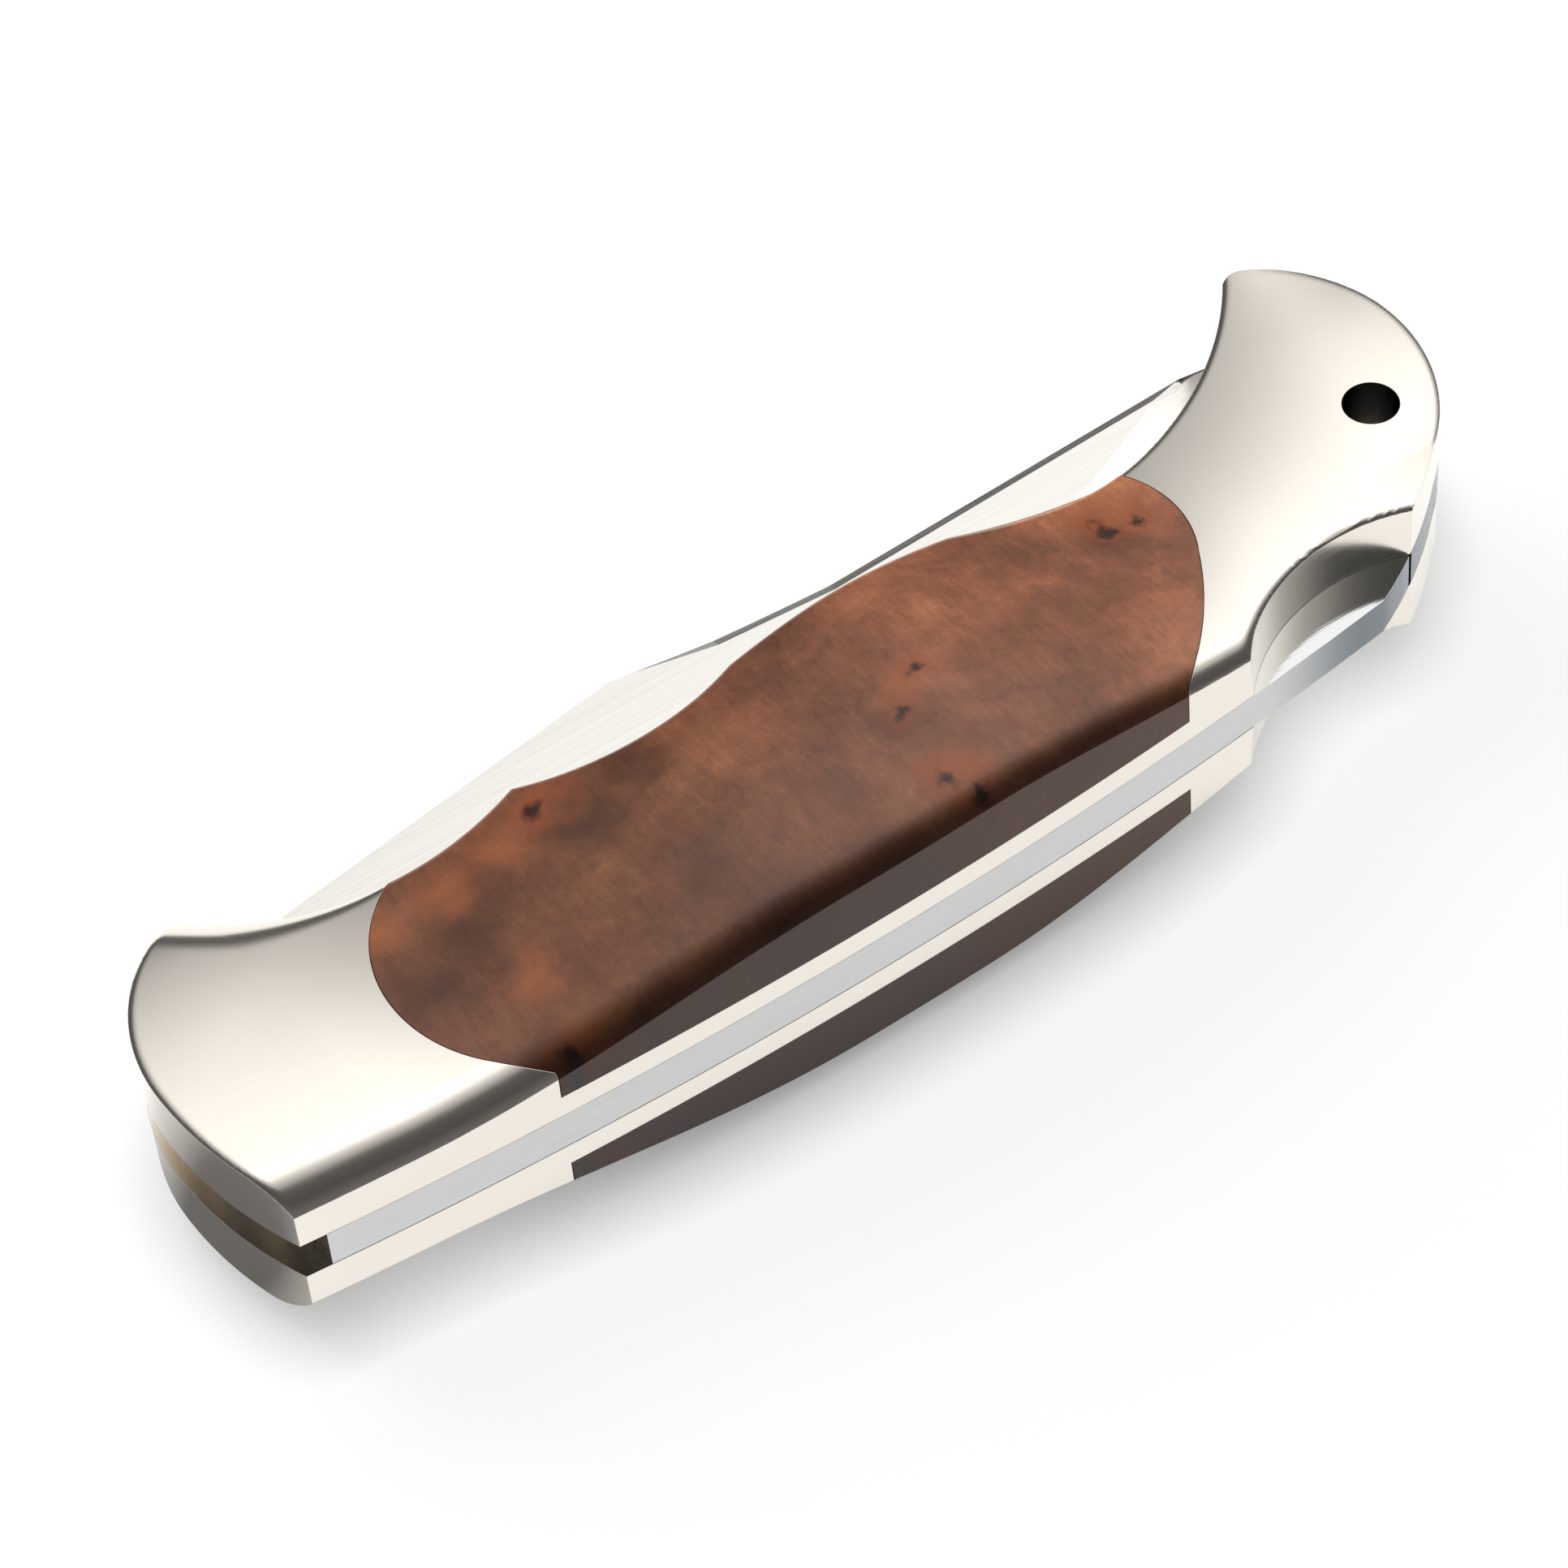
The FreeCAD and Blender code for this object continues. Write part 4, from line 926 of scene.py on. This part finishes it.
class KNIFE_OT_stage(bpy.types.Operator):
    """Sets the white table, the studio light and the camera"""

    bl_idname = "knife.stage"
    bl_label = "Table, light and camera"

    def execute(self, context):
        self.table()
        self.studio(context)
        self.lamps()
        self.camera(context)
        return {"FINISHED"}

    def table(self):
        """White table top that keeps the knife's shadow."""
        pick(frame["nodes"]["blade"])
        bpy.ops.mesh.primitive_plane_add(size=6.0)
        top = bpy.context.object
        top.name = "table"
        made, tree, out = blank("White table")
        path = add(tree, "ShaderNodeLightPath")
        seen = add(tree, "ShaderNodeMath", {
            0: path.outputs["Is Camera Ray"], 1: path.outputs["Is Glossy Ray"]}, operation="MAXIMUM")
        # Close under the knife the table lies in its shade.
        open_sky = add(tree, "ShaderNodeAmbientOcclusion", {"Distance": 6 * MM}, samples=16)
        shade = add(tree, "ShaderNodeMapRange", {
            "Value": open_sky.outputs["AO"], "From Min": 0.2, "From Max": 1.0, "To Min": 0.3, "To Max": 0.9})
        # Painted shadow: the metal mirrors a darker spot of table before the front end, which is over at 18
        # mm. It stands for shade and is seen only in reflections.
        place = add(tree, "ShaderNodeTexCoord").outputs["Object"]
        away = add(tree, "ShaderNodeVectorMath", {
            0: place, 1: (-60 * MM, -4 * MM, 0)}, operation="DISTANCE")
        painted_shadow_share = add(tree, "ShaderNodeMapRange", {
            "Value": away.outputs["Value"], "From Min": 6 * MM, "From Max": 18 * MM,
            "To Min": 0.05, "To Max": 1.2})
        mirrored = add(tree, "ShaderNodeMix", {
            "Factor": path.outputs["Is Camera Ray"], "A": painted_shadow_share.outputs["Result"], "B": 1.0},
            data_type="FLOAT")
        lit = add(tree, "ShaderNodeMath", {
            0: shade.outputs["Result"], 1: mirrored.outputs[0]}, operation="MULTIPLY")
        glow = add(tree, "ShaderNodeMath", {
            0: seen.outputs["Value"], 1: lit.outputs["Value"]}, operation="MULTIPLY")
        shader = add(tree, "ShaderNodeBsdfPrincipled", {
            "Base Color": colours().table, "Roughness": 0.9, "Specular IOR Level": 0.0,
            "Emission Color": (1, 1, 1, 1), "Emission Strength": glow.outputs["Value"]})
        tree.links.new(shader.outputs["BSDF"], out.inputs["Surface"])
        top.data.materials.append(made)

    def studio(self, context):
        """White surroundings for the eye. The metal mirrors a ceiling that darkens towards the walls."""
        world = bpy.data.worlds.new("Studio")
        context.scene.world = world
        world.use_nodes = True
        world.cycles_visibility.diffuse = False
        tree = world.node_tree
        tree.nodes.clear()
        out = add(tree, "ShaderNodeOutputWorld")
        way = add(tree, "ShaderNodeTexCoord").outputs["Generated"]
        # The ceiling light hangs a little behind the knife.
        height = add(tree, "ShaderNodeVectorMath", {0: way, 1: (0.4, 0.25, 0.88)}, operation="DOT_PRODUCT")
        ramp = add(tree, "ShaderNodeValToRGB", {"Fac": height.outputs["Value"]})
        stops = ramp.color_ramp.elements
        stops[0].position, level = CEILING[0]
        stops[0].color = (level, level, level, 1)
        stops[1].position, level = CEILING[-1]
        stops[1].color = (level, level, level, 1)
        for place, level in CEILING[1:-1]:
            stops.new(place).color = (level, level, level, 1)
        path = add(tree, "ShaderNodeLightPath")
        ceiling = add(tree, "ShaderNodeBackground", {"Color": ramp.outputs["Color"], "Strength": 1.7})
        white = add(tree, "ShaderNodeBackground", {"Color": (1, 1, 1, 1), "Strength": 1.0})
        sky = add(tree, "ShaderNodeMixShader", {
            0: path.outputs["Is Camera Ray"], 1: ceiling.outputs["Background"],
            2: white.outputs["Background"]})
        tree.links.new(sky.outputs["Shader"], out.inputs["Surface"])

    def lamps(self):
        """Soft lamps for what isn't mirrored. The metal doesn't show them."""
        for name, place, side, watts in LAMPS:
            lamp = bpy.data.lights.new(name, "AREA")
            lamp.energy = watts
            lamp.size = side
            holder = bpy.data.objects.new(name, lamp)
            bpy.context.collection.objects.link(holder)
            holder.location = place
            holder.rotation_euler = (-Vector(place)).to_track_quat("-Z", "Y").to_euler()
            holder.visible_glossy = False

    def camera(self, context):
        """Camera at the photograph's viewing angle, solved from the outline of the handle."""
        lens = bpy.data.cameras.new("Camera")
        lens.lens = 133.5
        lens.sensor_width = 36
        lens.clip_start = 0.01
        holder = bpy.data.objects.new("Camera", lens)
        bpy.context.collection.objects.link(holder)
        turn = Matrix((
            (0.82538, 0.46504, -0.32013),
            (-0.56101, 0.61202, -0.55740),
            (-0.06328, 0.63966, 0.76604),
        ))
        holder.matrix_world = Matrix.Translation((-0.13471, -0.228396, 0.324065)) @ turn.to_4x4()
        context.scene.camera = holder
        context.scene.view_settings.view_transform = "Standard"


class KNIFE_PT_panel(bpy.types.Panel):
    """Lists the steps that dress the knife"""

    bl_idname = "KNIFE_PT_panel"
    bl_label = "Folding Knife"
    bl_space_type = "VIEW_3D"
    bl_region_type = "UI"
    bl_category = "Knife"

    def draw(self, context):
        for step in STEPS:
            self.layout.operator(step.bl_idname)
        for group in (context.scene.knife_sizes, context.scene.knife_colours):
            for name in group.bl_rna.properties.keys():
                if name not in ("rna_type", "name"):
                    self.layout.prop(group, name)


STEPS = (KNIFE_OT_frames, KNIFE_OT_inlays, KNIFE_OT_blade, KNIFE_OT_lock, KNIFE_OT_hidden, KNIFE_OT_stage)
CLASSES = (KnifeSizes, KnifeColours) + STEPS + (KNIFE_PT_panel,)


def register():
    for item in CLASSES:
        bpy.utils.register_class(item)
    bpy.types.Scene.knife_sizes = bpy.props.PointerProperty(type=KnifeSizes)
    bpy.types.Scene.knife_colours = bpy.props.PointerProperty(type=KnifeColours)


def unregister():
    del bpy.types.Scene.knife_colours
    del bpy.types.Scene.knife_sizes
    for item in reversed(CLASSES):
        bpy.utils.unregister_class(item)


def main():
    register()
    bpy.ops.knife.frames()
    bpy.ops.knife.inlays()
    bpy.ops.knife.blade()
    bpy.ops.knife.lock()
    bpy.ops.knife.hidden()
    bpy.ops.knife.stage()


if __name__ == "__main__":
    main()
